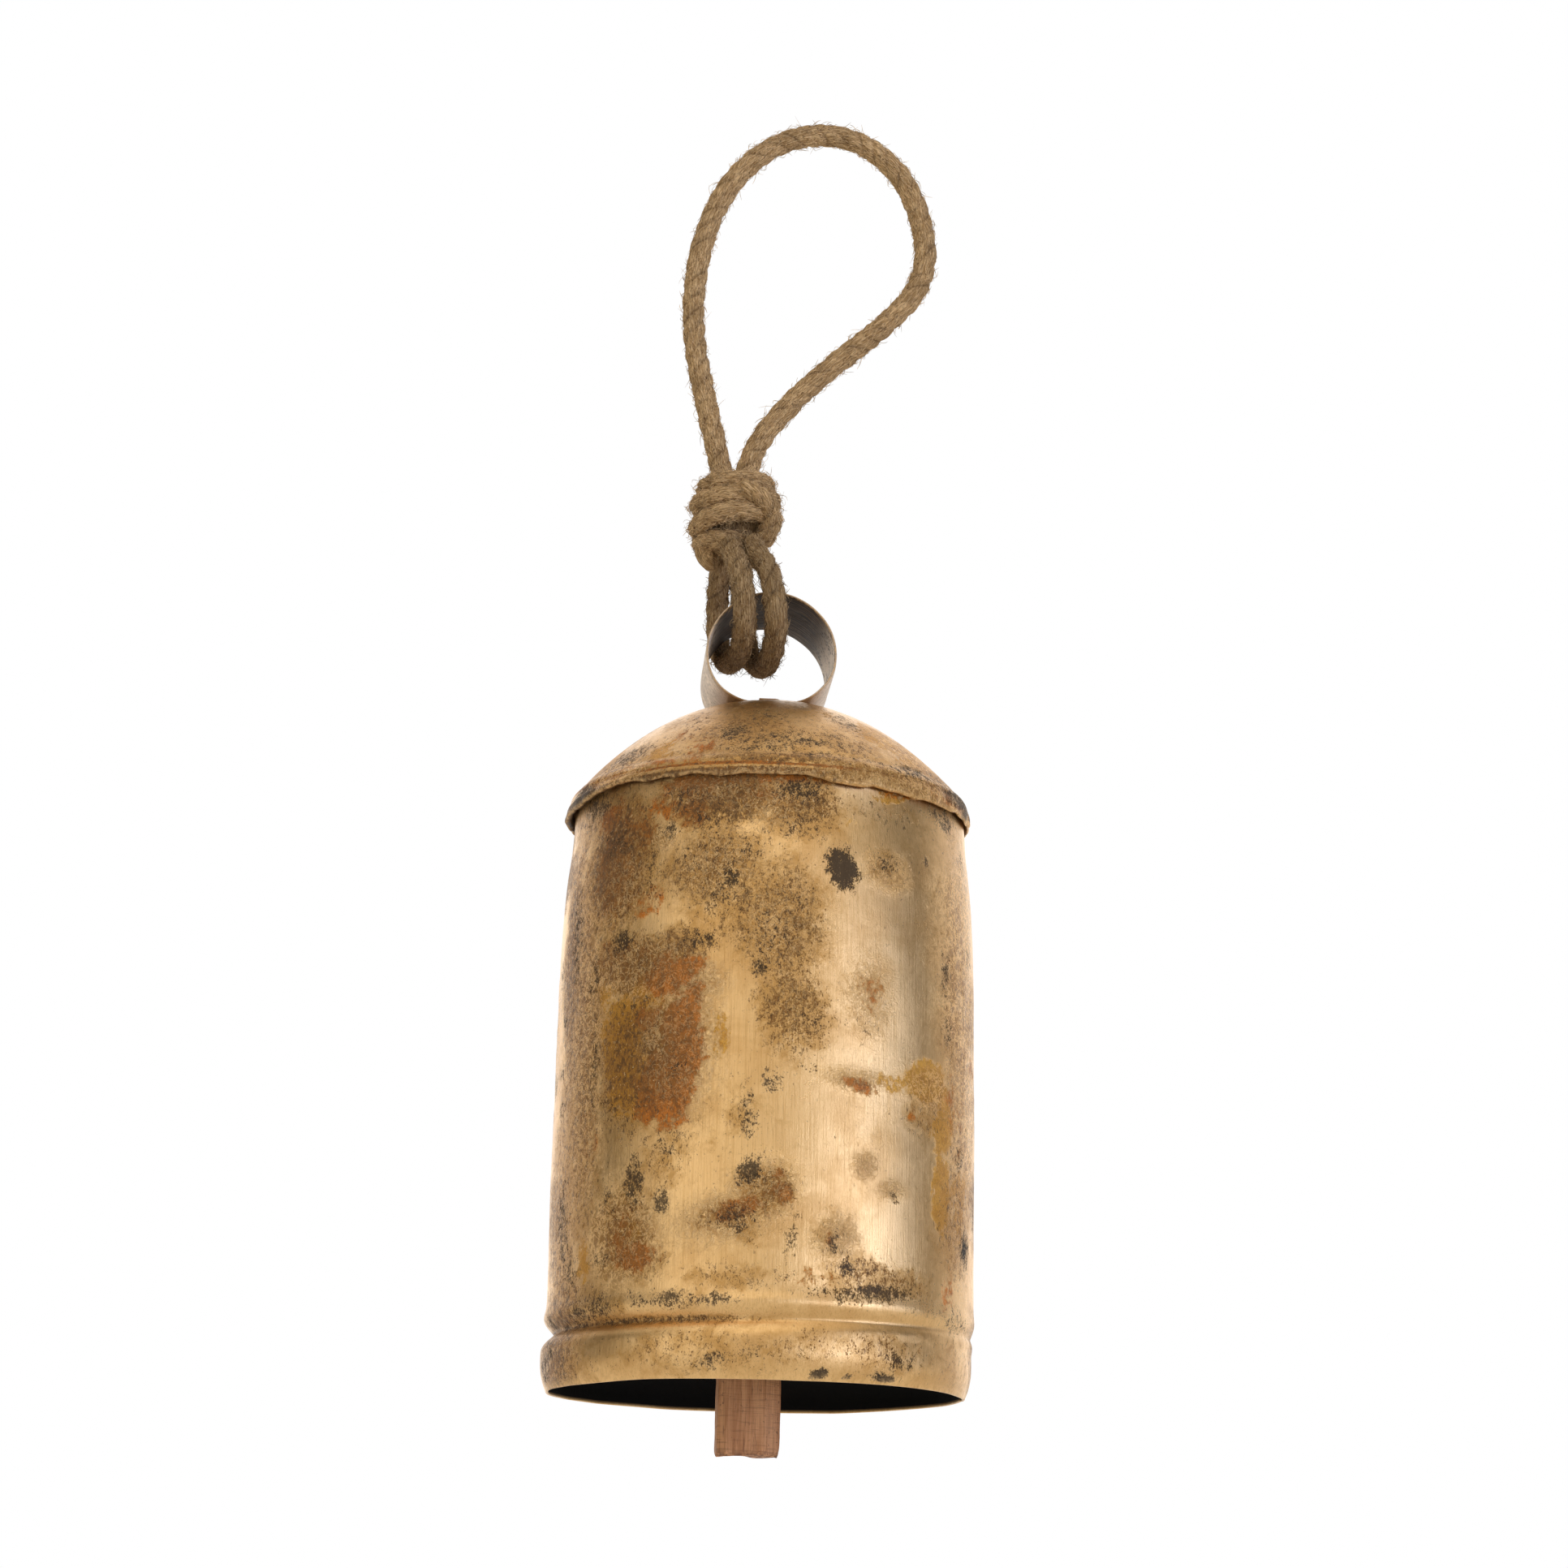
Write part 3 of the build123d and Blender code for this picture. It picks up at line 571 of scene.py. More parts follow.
# heights in mm above the mouth; a mark is degrees from the front towards +X, height, half width, half height and
# strength, and for some a lean in degrees
body = {
    "heights": (0, 2.2, 5.4, 9, 12.6, 15.4, 18.8, 23.8, 52, 85, 113, 134, 149, 158),
    "radii": (54.4, 55.3, 56.05, 56.2, 56.1, 55.95, 55.95, 55.9, 56.0, 55.85, 55.7, 54.9, 53.4, 53.2),
    "sheet": 0.8,
    "columns": 420,
    "lapStart": -15.0,           # degrees from +X, where the sheet's edge stands over itself
    "lapStep": 0.5,
    "grooveHeight": 15.0,
    "grooveTilt": 0.55,
    "grooveWaver": (0.35, 60),                        # mm, cell
    "grooveDepth": (0.95, 1.35),                      # mm at the right, and how much more at the left
    "grooveWidth": 1.9,
    "bead": (0.42, 4.0, 2.0),                         # mm proud, mm above the groove, half height
    "ovals": ((0.16, 2, 0.8, 60), (0.10, 3, 2.0, 90)),    # mm, lobes, radians ahead, height where it is full
    "shrink": 0.25,
    "dents": (0.26, 46),                              # mm, cell
    "ripples": (0.07, 11),
    "crustBumps": (0.15, 3.4),
    "mouthSlide": -0.9,          # the mouth ring sits a little to the left
    "mouthWave": 0.28,           # the cut edge is not quite level
    # strewn round the sides and back: count, seed, lowest, highest, half width, half height, strength
    "strewn": {
        "rust": (18, 1, 15, 150, 6, 9, .62), "brown": (44, 2, 8, 155, 15, 18, 1.0),
        "ochre": (14, 3, 15, 150, 8, 11, .8), "soot": (110, 4, 3, 155, 3.6, 4.4, .82),
        "scorch": (3, 5, 20, 140, 3, 5, 1.0), "crust": (26, 7, 12, 150, 13, 16, .9),
    },
    "rust": [
        (-26, 85, 5.4, 10, 1.15, 8), (-31, 74, 9, 9, .95), (-23, 93, 4, 5, .7), (-36, 92, 6, 5, .6),
        (-28, 66, 5, 4, .6), (-31, 101, 8, 6, .85), (-24, 104, 6, 3, .8), (-20, 152, 15, 3.0, .85, 4),
        (2, 153.4, 14, 1.4, .66), (-26, 146, 7, 6, .62), (-50, 132, 8, 13, .78), (-54, 146, 8, 6, .7),
        (-32, 146, 13, 5, .56), (-8, 149, 9, 4, .5), (-44, 141, 8, 6, .62), (-38, 121, 6, 6, .5),
        (-45, 38, 5, 7, .6), (-40, 31, 9, 3.4, .74), (-1, 46, 3, 6, .66, 20), (-11, 41, 6, 3, .62, 20),
        (21, 75, 6, 2, .74, -12), (40, 67, 4, 1.8, .45), (15, 34, 2, 2, .45), (-57, 62, 6, 12, .42),
        (56, 24, 8, 6, .45), (25, 99, 5, 6, .46), (44, 153, 16, 2, .7), (-44, 108, 14, 5, .5), (60, 70, 6, 16, .4),
        (10, 24, 12, 2, .4),
    ],
    "brown": [
        (-46, 106, 17, 8, 1.15), (-27, 109, 9, 5, 1.0), (-50, 134, 15, 20, 1.25), (-20, 148, 18, 9, 1.1),
        (6, 147, 13, 8, .95), (-18, 130, 15, 13, .86), (0, 114, 13, 18, .88), (3, 92, 12, 13, .88),
        (-40, 82, 16, 18, 1.1), (-62, 85, 11, 62, .95), (-45, 37, 11, 12, .88, 20), (-36, 29, 9, 5, .7),
        (-39, 50, 7, 9, .62), (-3, 46, 7, 7, .86), (-13, 40, 8, 4, .74, 20), (-9, 36, 5, 6, .6),
        (-30, 56, 9, 9, .62), (-10, 66, 5, 10, .5), (-12, 23, 16, 5, .62), (46, 68, 13, 7, .72),
        (62, 90, 11, 60, .72), (60, 42, 12, 20, .85), (30, 131, 9, 6, .58), (32, 148, 22, 6, .62),
        (24, 97, 8, 11, .4), (-17, 121, 10, 7, .82), (5, 141, 13, 6, .78), (-14, 112, 8, 6, .7),
        (15, 35, 7, 7, .55), (30, 24, 18, 4, .7), (-20, 7, 26, 6, .62), (6, 8, 14, 5, .6), (34, 7, 20, 6, .66),
        (-25, 128, 12, 9, .8), (-10, 118, 10, 12, .8), (-70, 110, 8, 40, 1.1), (30, 24, 18, 6, .8),
        (-58, 6, 10, 8, .5), (62, 8, 14, 8, .55), (24, 60, 8, 6, .3), (-52, 20, 12, 6, .74),
    ],
    "ochre": [
        (-45, 87, 7, 12, 1.05), (-41, 76, 8, 8, .9), (-37, 97, 7, 6, .8), (46, 77, 9, 5, 1.1),
        (53, 66, 5, 8, .9, -20), (-47, 128, 5, 8, .5), (52, 50, 4, 11, 1.0), (62, 48, 5, 12, .8),
        (-60, 30, 4, 8, .7), (-53, 100, 4, 8, .6), (33, 76, 6, 3, .7), (-40, 110, 8, 3, .55), (35, 152, 9, 3, .6),
        (-17, 84, 4, 9, .5), (-43, 38, 7, 6, .6), (20, 140, 7, 7, .3),
    ],
    "soot": [
        (4, 151, 9, 3.4, .95), (-30, 149, 9, 4, .62), (-14, 127, 2.6, 5.5, .9), (-10, 136, 9, 5, .56),
        (-46, 113, 4, 3.4, 1.0), (-50, 140, 6, 5, .56), (-21, 110, 6, 2.4, .82), (-6, 103, 2.6, 3.0, 1.0),
        (-3, 112, 6, 9, .58), (-1, 74, 3.4, 3.0, .92), (-7, 51, 4.6, 4, 1.15, 30), (3, 122, 6, 6, .52),
        (-10, 40, 6, 4.4, .86), (-40, 50, 3.6, 6.5, 1.0), (-31, 44, 3.2, 2.8, 1.1), (-8, 66, 2.0, 8, .82),
        (-30, 58, 8, 6, .6), (-42, 62, 5, 5, .6), (66, 37, 4, 5, 1.0), (-29, 19.5, 12, 2.2, 1.0),
        (-16, 19.8, 7, 1.8, .95), (-50, 18.5, 8, 3.2, .86), (27, 21.8, 15, 2.8, 1.05, 4), (10, 21, 8, 1.6, .7),
        (46, 20, 10, 2.4, .7), (13, 1.9, 3.4, 1.8, .9), (30, 1.9, 6, 1.6, .9), (-15, 4.5, 5, 2.8, .82),
        (-4, 6, 5, 3, .56), (35, 6, 6, 2.6, .8), (-58, 18, 5, 5, .8), (52, 106, 3, 7, .86), (54, 92, 3, 5, .7),
        (-56, 78, 3, 14, .56), (-50, 68, 4, 5, .5), (-57, 103, 3, 6, .56), (44, 137, 1.6, 2.4, 1.1),
        (15, 34, 2.2, 2.8, .86), (18, 29, 2.0, 3.4, .9), (33, 47, 1.5, 2.2, .95), (-20, 141, 6, 4, .6),
        (4, 36, 2.4, 8, .7), (-48, 46, 3, 6, .66), (-51, 30, 7, 3, .62), (56, 150, 10, 4, .9),
        (-62, 151, 8, 4, .9), (-26, 78, 5, 6, .5), (30, 133, 4, 4, .7), (-36, 128, 3, 9, .6), (60, 18, 10, 4, .74),
        (-70, 40, 4, 11, .7), (10, 90, 6, 4, .55), (8, 78, 3, 2, .6), (-32, 141, 4, 4, .7), (40, 118, 4, 3, .4),
        (6, 25, 7, 2.2, .6), (60, 60, 5, 6, .62), (24, 88, 6, 4, .42), (-40, 96, 7, 3, .55), (-16, 122, 6, 4, .6),
        (5, 140, 9, 4, .55), (-24, 112, 5, 3, .5), (-18, 119, 8, 5, .5), (-25, 133, 7, 6, .5),
        (-68, 118, 4, 14, .6),
    ],
    "scorch": [
        (16.4, 130.2, 4.1, 5.4, 1.0, 24), (13, 1.9, 2.7, 1.2, 1.0, 10), (31.5, 1.6, 3.8, .9, .95),
        (21, 1.4, 1.6, .6, .7), (66, 37, 1.5, 3, .8),
    ],
    "crust": [
        (-27, 84, 10, 17, .85), (-40, 104, 14, 7, 1.0), (-24, 100, 8, 5, .9), (-43, 36, 11, 11, 1.0, 20),
        (-4, 46, 7, 7, .95), (-14, 39, 7, 5, .9), (25, 97, 6, 8, .5), (20, 76, 7, 2.4, .7), (46, 76, 8, 5, .85),
        (-4, 147, 11, 6, .62), (30, 131, 6, 4, .7), (3, 96, 7, 8, .36), (-48, 126, 9, 12, .6),
        (-60, 90, 8, 50, .55), (62, 90, 8, 60, .5), (-24, 151, 16, 4, .6), (-34, 138, 4, 4, .9),
        (-17, 38, 9, 5, .6), (15, 35, 5, 5, .6), (24, 54, 3, 3, .6), (32, 48, 4, 2, .6), (-26, 66, 3, 3, .6),
        (-18, 130, 12, 10, .55), (0, 116, 11, 14, .45),
    ],
}


# how strongly a mark covers each point: the largest of its patches, each strength * exp(-0.7 d^3), d the distance
# from its middle over its half width and half height, in its leaning axes
def markStrength(front, height, patches, wander):
    cover = np.zeros_like(front)
    for place, high, wide, tall, strength, *lean in patches:
        angle = math.radians(sum(lean))
        dx = (np.mod(front - place + 180, 360) - 180) * markRadius * np.pi / 180 + wander[0]
        dy = height - high + wander[1]
        c, s = math.cos(angle), math.sin(angle)
        x, y = (dx * c + dy * s) / wide, (dy * c - dx * s) / tall
        cover = np.maximum(cover, strength * np.exp(-0.7 * (x * x + y * y)**1.5))
    return cover


# marks for the sides and back, spread by chance in the same manner
def strewn(count, seed, low, high, wide, tall, strength):
    rng = np.random.default_rng(seed)
    return [(frontGap + (360 - 2 * frontGap) * rng.random(), low + (high - low) * rng.random(),
             wide * rng.uniform(.4, 1.3), tall * rng.uniform(.4, 1.4),
             strength * rng.uniform(.6, 1.1), rng.uniform(-30, 30)) for _ in range(count)]


# one kind of mark on a piece: the placed patches and the strewn ones together
def stain(piece, kind, turn, height, wander):
    return markStrength(fromFront(turn), height, piece[kind] + strewn(*piece["strewn"][kind]), wander)


# two noises that move a mark's place sideways and up, so that its edge is ragged
def strays(turn, height, sizes, cell, octaves, seeds, keep=0.5):
    return tuple(size * roundNoise(turn, height, cell, octaves, seed, keep) for size, seed in zip(sizes, seeds))


# height of the groove's middle: level, plus a slow tilt and a waver round the bell
def grooveLine(t):
    size, cell = body["grooveWaver"]
    return body["grooveHeight"] + body["grooveTilt"] * np.cos(t - 0.6) + size * levelNoise(t, cell, 2, 71)


# outer radius of the sheet over turn and height: the keyed profile, less the rolled groove, plus the bead above it,
# out-of-round, dents, crust and the step of the lap; fine = 0 leaves out what shows only outside
def wallRadius(t, h, fine):
    left = ease(-np.cos(t), -0.75, 0.9)
    above = h - grooveLine(t)
    shallow, more = body["grooveDepth"]
    beadSize, beadHeight, beadWidth = body["bead"]
    r = smoothThrough(h, body["heights"], body["radii"]) - body["shrink"]
    r = r - (shallow + more * left) * hill(above, body["grooveWidth"], 1.5)
    r = r + beadSize * hill(above - beadHeight, beadWidth) * (0.5 + left)
    for size, lobes, ahead, full in body["ovals"]:
        r = r + size * np.cos(lobes * t + ahead) * ease(h, 160, full)
    size, cell = body["dents"]
    r = r + size * roundNoise(t, h, cell, 2, 21) * ease(h, 158, 138) * (0.4 + 0.6 * ease(h, 0, 30))
    size, cell = body["ripples"]
    r = r + fine * size * roundNoise(t, h, cell, 2, 31)
    crust = stain(body, "crust", t, h, strays(t, h, (1.5, 1.5), 9, 2, (41, 45)))
    size, cell = body["crustBumps"]
    r = r + fine * size * crust * roundNoise(t, h, cell, 2, 51)
    after = np.mod(body["lapStart"] + 12 - np.degrees(t), 360)
    return r + body["lapStep"] * (after < 180) * hill(after, 16.0) * ease(h, 158, 150), crust


# sheet wall: (r cos t, r sin t) at each height outside, the inner wall a sheet's thickness inside it, and the two
# joined round the mouth by a half circle
def bellBody():
    turn = np.linspace(0, 2 * np.pi, body["columns"], endpoint=False)[None, :]
    thin, slide = body["sheet"] / 2, body["mouthSlide"]
    outH = np.concatenate([np.linspace(157.6, 27, 134), np.linspace(26.2, 1.0, 40)])[:, None] + 0 * turn
    inH = np.concatenate([np.linspace(1.0, 26.2, 14), np.linspace(30, 157.4, 22)])[:, None] + 0 * turn
    edge = np.linspace(0, np.pi, 9)[1:-1, None]
    wave = body["mouthWave"] * levelNoise(turn, 30, 3, 61)
    outR, crust = wallRadius(turn + 0 * outH, outH, 1.0)
    edgeR = wallRadius(turn, thin + 0 * turn, 1.0)[0] - thin + thin * np.cos(edge)
    inR = wallRadius(turn + 0 * inH, inH, 0.0)[0] - 2 * thin
    bands = (outR, edgeR, inR)
    r = np.vstack(bands)
    h = np.vstack([outH + wave * ease(outH, 9, 0), thin - thin * np.sin(edge) + wave, inH + wave * ease(inH, 9, 0)])
    t = turn + 0 * r
    move = overBands(bands, (slide * ease(outH, 14.5, 10.5), slide, slide * ease(inH, 14.5, 10.5)))
    points = np.stack([r * np.cos(t) + move, r * np.sin(t), rim + h], -1)
    # inside: 1 on the inner wall and part of the mouth's rounding, which take the near-black painted shade of the
    # hollow
    inside = overBands(bands, (0, 0.35 * ease(edge, 1.6, 3.0), 1))
    wander = strays(t, h, (4.4, 4.4), 22, 4, (81, 85), 0.6)
    small = strays(t, h, (1.9, 1.9), 7, 3, (88, 92), 0.6)
    # valley: darker along the rolled groove on the left, partly tarnish in its hollow and partly painted shade of the
    # groove; it goes into the brown and soot marks
    valley = 1.1 * hill(h - grooveLine(t), 1.25) * ease(-np.cos(t), -0.5, 0.5)
    cloud = 0.24 + 0.30 * roundNoise(t, h, 34, 3, 95)
    marks = {
        "rust": stain(body, "rust", t, h, wander),
        "brown": np.max([valley, stain(body, "brown", t, h, wander), cloud], axis=0),
        "ochre": stain(body, "ochre", t, h, wander),
        # soot: the soot stains, plus half the valley with its painted groove shade
        "soot": np.maximum(0.5 * valley * (1 - inside), stain(body, "soot", t, h, small)),
        "scorch": stain(body, "scorch", t, h, (0.25 * small[0], 0.25 * small[1])),
        "crust": overBands(bands, (crust, 0, 0)),
        "inside": inside,
        "edge": hill(h, 1.3) * (1 - inside),
    }
    return gridPiece("bellBody", points, brassFinish("bellBrass"), closedRows=True, **marks)


brass = {
    "gold": (0.82, 0.515, 0.220),
    # glint: colour of the painted highlights on the crust
    "glint": (0.95, 0.640, 0.300),
    "dull": (0.67, 0.390, 0.148),
    "tarnish": (0.50, 0.265, 0.076),
    "brown": (0.275, 0.122, 0.031),
    "rust": (0.60, 0.178, 0.017),
    "rustDeep": (0.20, 0.064, 0.012),
    "ochre": (0.68, 0.345, 0.050),
    "ochreDeep": (0.46, 0.200, 0.024),
    "fleck": (0.115, 0.060, 0.024),
    "soot": (0.044, 0.027, 0.013),
    "char": (0.020, 0.013, 0.008),
    # inner: near black, painted shade for the bell's inside and the cap's underside
    "inner": (0.010, 0.009, 0.008),
    # each ragged layer: spread of its noise, mask where it starts, mask where it is full, how much it covers
    "hazeEdge": (2.3, 0.30, 0.85, 0.84),
    "ochreEdge": (2.6, 0.40, 0.66, 0.88),
    "rustEdge": (2.6, 0.36, 0.68, 0.93),
    "brownEdge": (4.2, 0.66, 0.98, 0.86),
    "sootEdge": (5.6, 0.70, 1.18, 0.88),
    "charEdge": (3.6, 0.36, 0.66, 0.92),
    "coat": (0.10, 0.26),        # weight and roughness of the thin clear coat
}


# aged brass: brushed gold, clouded with tarnish, then ragged stains and specks laid over it, the darkest last;
# each layer is its mark plus fractal noise, through a steep ease
def brassFinish(name, brushed=(2.6, 2.6, 0.05), dull=0.0):
    f = Finish(name)
    b = brass
    rust, brown, ochre, soot, scorch, crust, inside, edge = (
        f.mark(k) for k in ("rust", "brown", "ochre", "soot", "scorch", "crust", "inside", "edge"))
    brush = f.noise(1.0, 5, 0.62, 0.0, brushed)
    hair = f.noise(1.0, 4, 0.65, 0.0, shaded(brushed, 3.1), (5, 3, 1))
    broad = f.noise(0.045, 6, 0.6, 0.5)
    mottle = f.noise(0.17, 9, 0.70, 0.35)
    fine = f.noise(0.62, 8, 0.70, 0.25, (1, 1, 0.8))
    grit = f.noise(2.6, 5, 0.68, 0.0, (1, 1, 0.7), (4, 9, 2))
    fleck = f.noise(0.85, 7, 0.80, 0.5, (1, 1, 0.7), (7, 1, 6))
    spark = f.noise(1.25, 5, 0.75, 0.4, (1, 1, 0.8), (3, 6, 9))
    worm = f.math("ABSOLUTE", f.math("SUBTRACT", f.noise(0.55, 4, 0.6, 0.9, shift=(2, 8, 5)), 0.5))
    pair = f.times(f.math("ADD", mottle, fine), 0.5)
    small = f.times(f.math("ADD", fine, grit), 0.5)
    lines = f.between(worm, 0.050, 0.008)

    # gold, tarnish and the brushed lines
    colour = f.blend(f.between(broad, 0.42, 0.62), b["gold"], b["dull"])
    if dull:
        colour = f.blend(dull, colour, b["tarnish"])
    colour = f.blend(f.between(brush, 0.54, 0.36, 0.36), colour, b["tarnish"])
    colour = f.blend(f.between(hair, 0.42, 0.30, 0.50), colour, b["brown"])

    # stains
    hazeMask = f.ragged(brown, f.nudged(mottle, brush, 0.25), *b["hazeEdge"])
    colour = f.blend(hazeMask, colour, b["tarnish"])
    ochreMask = f.ragged(ochre, pair, *b["ochreEdge"])
    colour = f.blend(ochreMask, colour, f.blend(f.between(small, 0.44, 0.58), b["ochreDeep"], b["ochre"]))
    rustMask = f.ragged(rust, pair, *b["rustEdge"])
    rusty = f.blend(f.between(f.nudged(fine, grit, 0.5), 0.40, 0.60), b["rustDeep"], b["rust"])
    colour = f.blend(rustMask, colour, rusty)
    brownMask = f.ragged(f.times(brown, 0.85), f.nudged(small, hair, 0.20), *b["brownEdge"])
    colour = f.blend(brownMask, colour, b["brown"])
    colour = f.blend(f.between(f.added(fleck, brown, 0.15), 0.625, 0.725, 0.82), colour, b["fleck"])

    # crust: dark beds, then worm-like bright lines
    colour = f.blend(f.times(f.between(worm, 0.02, 0.12), f.between(crust, 0.15, 0.8, 0.62)), colour, b["brown"])
    shown = f.times(f.between(crust, 0.10, 0.65, 0.62), f.added(1.0, rustMask, -0.50))
    colour = f.blend(f.times(lines, shown), colour, shaded(b["gold"], 1.12))

    # soot, scorch, glints as painted highlights, the worn rim, and the inside darkened to near black as painted shade
    sootMask = f.ragged(f.added(soot, brown, 0.24), small, *b["sootEdge"])
    colour = f.blend(sootMask, colour, b["soot"])
    charMask = f.ragged(scorch, small, *b["charEdge"])
    colour = f.blend(charMask, colour, b["char"])
    # glints: bright gold specks on the brown and crust, painted highlights standing for the tiny highlights on the
    # raised crust
    aged = f.most(brown, crust, f.times(scorch, 0.55))
    colour = f.blend(f.times(f.between(spark, 0.60, 0.67, 0.75), f.between(aged, 0.35, 0.95)), colour, b["glint"])
    colour = f.blend(f.times(edge, f.between(fine, 0.40, 0.58, 0.7)), colour, shaded(b["gold"], 1.1))
    colour = f.blend(inside, colour, b["inner"])

    # how metallic, how rough, and the relief
    stained = f.most(rustMask, f.times(brownMask, 0.8), f.times(ochreMask, 0.65))
    dark = f.most(sootMask, charMask, inside)
    metal = f.added(f.added(1.0, stained, -0.38), dark, -0.85, clamp=True)
    rough = f.added(0.235, broad, 0.12)
    rough = f.added(rough, hazeMask, 0.10)
    rough = f.added(rough, stained, 0.18)
    rough = f.added(rough, dark, 0.28, clamp=True)
    normal = f.bump(f.added(f.times(hair, 0.5), brush, 0.5), 0.00009)
    relief = f.times(small, f.added(f.added(0.14, stained, 0.45), crust, 1.0))
    normal = f.bump(f.added(relief, f.times(lines, crust), 0.5), 0.00042, normal)
    normal = f.bump(f.math("SUBTRACT", 1.0, f.most(sootMask, charMask)), 0.00007, normal)
    weight, coatRough = b["coat"]
    f.surface.inputs["Coat Weight"].default_value = weight
    f.surface.inputs["Coat Roughness"].default_value = coatRough
    return f.done(colour, metal, rough, normal, 0.12)


bellShell = bellBody()
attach(bellShell, "bell")
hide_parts("body_shell")
print("bell body")

# cap; heights and marks as for the body
cap = {
    "sheet": 0.9,
    "crown": 184.4,
    "crownFlat": 17,             # mm from the axis to where the dome begins
    "dome": (156.8, 30.8, 55.5, 2.23),     # height = foot + rise (1 - (r / span)^power)
    "columns": 420,
    "domeEdge": 54.3,            # radius where the lip begins
    "lipLow": 152.8,
    "lipKeys": (0, .12, .3, .5, .7, .88, 1),
    "lipOut": (0.05, 0.10, 0.42, 0.70, 0.80, 0.75, 0.40),     # mm outside the dome's edge
    "lipDown": (0.03, 0.12, 0.30, 0.50, 0.72, 0.92, 1.0),     # part of the way down
    "lipRagged": ((0.75, 7, 3, 101), (0.35, 3, 2, 103), (0.5, 45, 2, 105)),     # mm, cell, octaves, seed
    "creaseRadius": 53.4,
    "hollowRadius": 52.0,
    "strewn": {
        "rust": (8, 21, 152, 178, 10, 4, .7), "brown": (18, 22, 153, 184, 16, 7, 1.0),
        "ochre": (8, 23, 153, 178, 9, 5, .8), "soot": (26, 24, 153, 182, 7, 3, .8),
        "crust": (14, 17, 150, 180, 13, 6, .9),
    },
    "rust": [
        (-24, 163, 8, 5, .5), (-32, 170, 6, 5, .4), (-34, 158.5, 12, 1.6, .5), (62, 156, 16, 3, .6),
        (-50, 158, 10, 2, .5),
    ],
    "brown": [
        (-14, 170, 22, 10, .85), (-60, 162, 18, 7, .9), (60, 160, 22, 6, 1.0), (18, 165, 18, 5, .8),
        (0, 159, 28, 2.4, .95), (-40, 176, 20, 6, .7), (30, 172, 14, 5, .6), (4, 180, 20, 4, .6),
    ],
    "ochre": [
        (52, 166, 12, 7, 1.1), (40, 172, 10, 5, .9), (-56, 158, 10, 3, .8), (-38, 163, 7, 5, .62),
        (20, 178, 8, 3, .5),
    ],
    "soot": [
        (-16, 168, 6, 3.6, .84), (0, 166.5, 13, 3.0, .7, 2), (70, 154.5, 4, 2, 1.2), (60, 155.5, 6, 1.4, .9),
        (-40, 154, 14, 1.4, .6), (3, 164.5, 20, 2.0, .78, 2), (12, 167.5, 14, 1.8, .6, 3), (-8, 162, 16, 1.6, .72),
        (-32, 172, 7, 6, .55), (8, 161, 14, 1.4, .6), (-52, 165, 12, 4, .74), (68, 157, 14, 3, 1.1),
        (40, 160, 10, 2.4, .86), (-70, 156, 9, 3, 1.0), (28, 176, 9, 5, .74), (-4, 176, 12, 4, .6),
    ],
    "crust": [
        (-60, 158, 20, 5, .9), (60, 157, 24, 5, 1.0), (32, 156, 22, 3.4, .9), (4, 155, 30, 2, .5),
        (-20, 160, 10, 3, .5), (48, 168, 12, 7, .7),
    ],
}


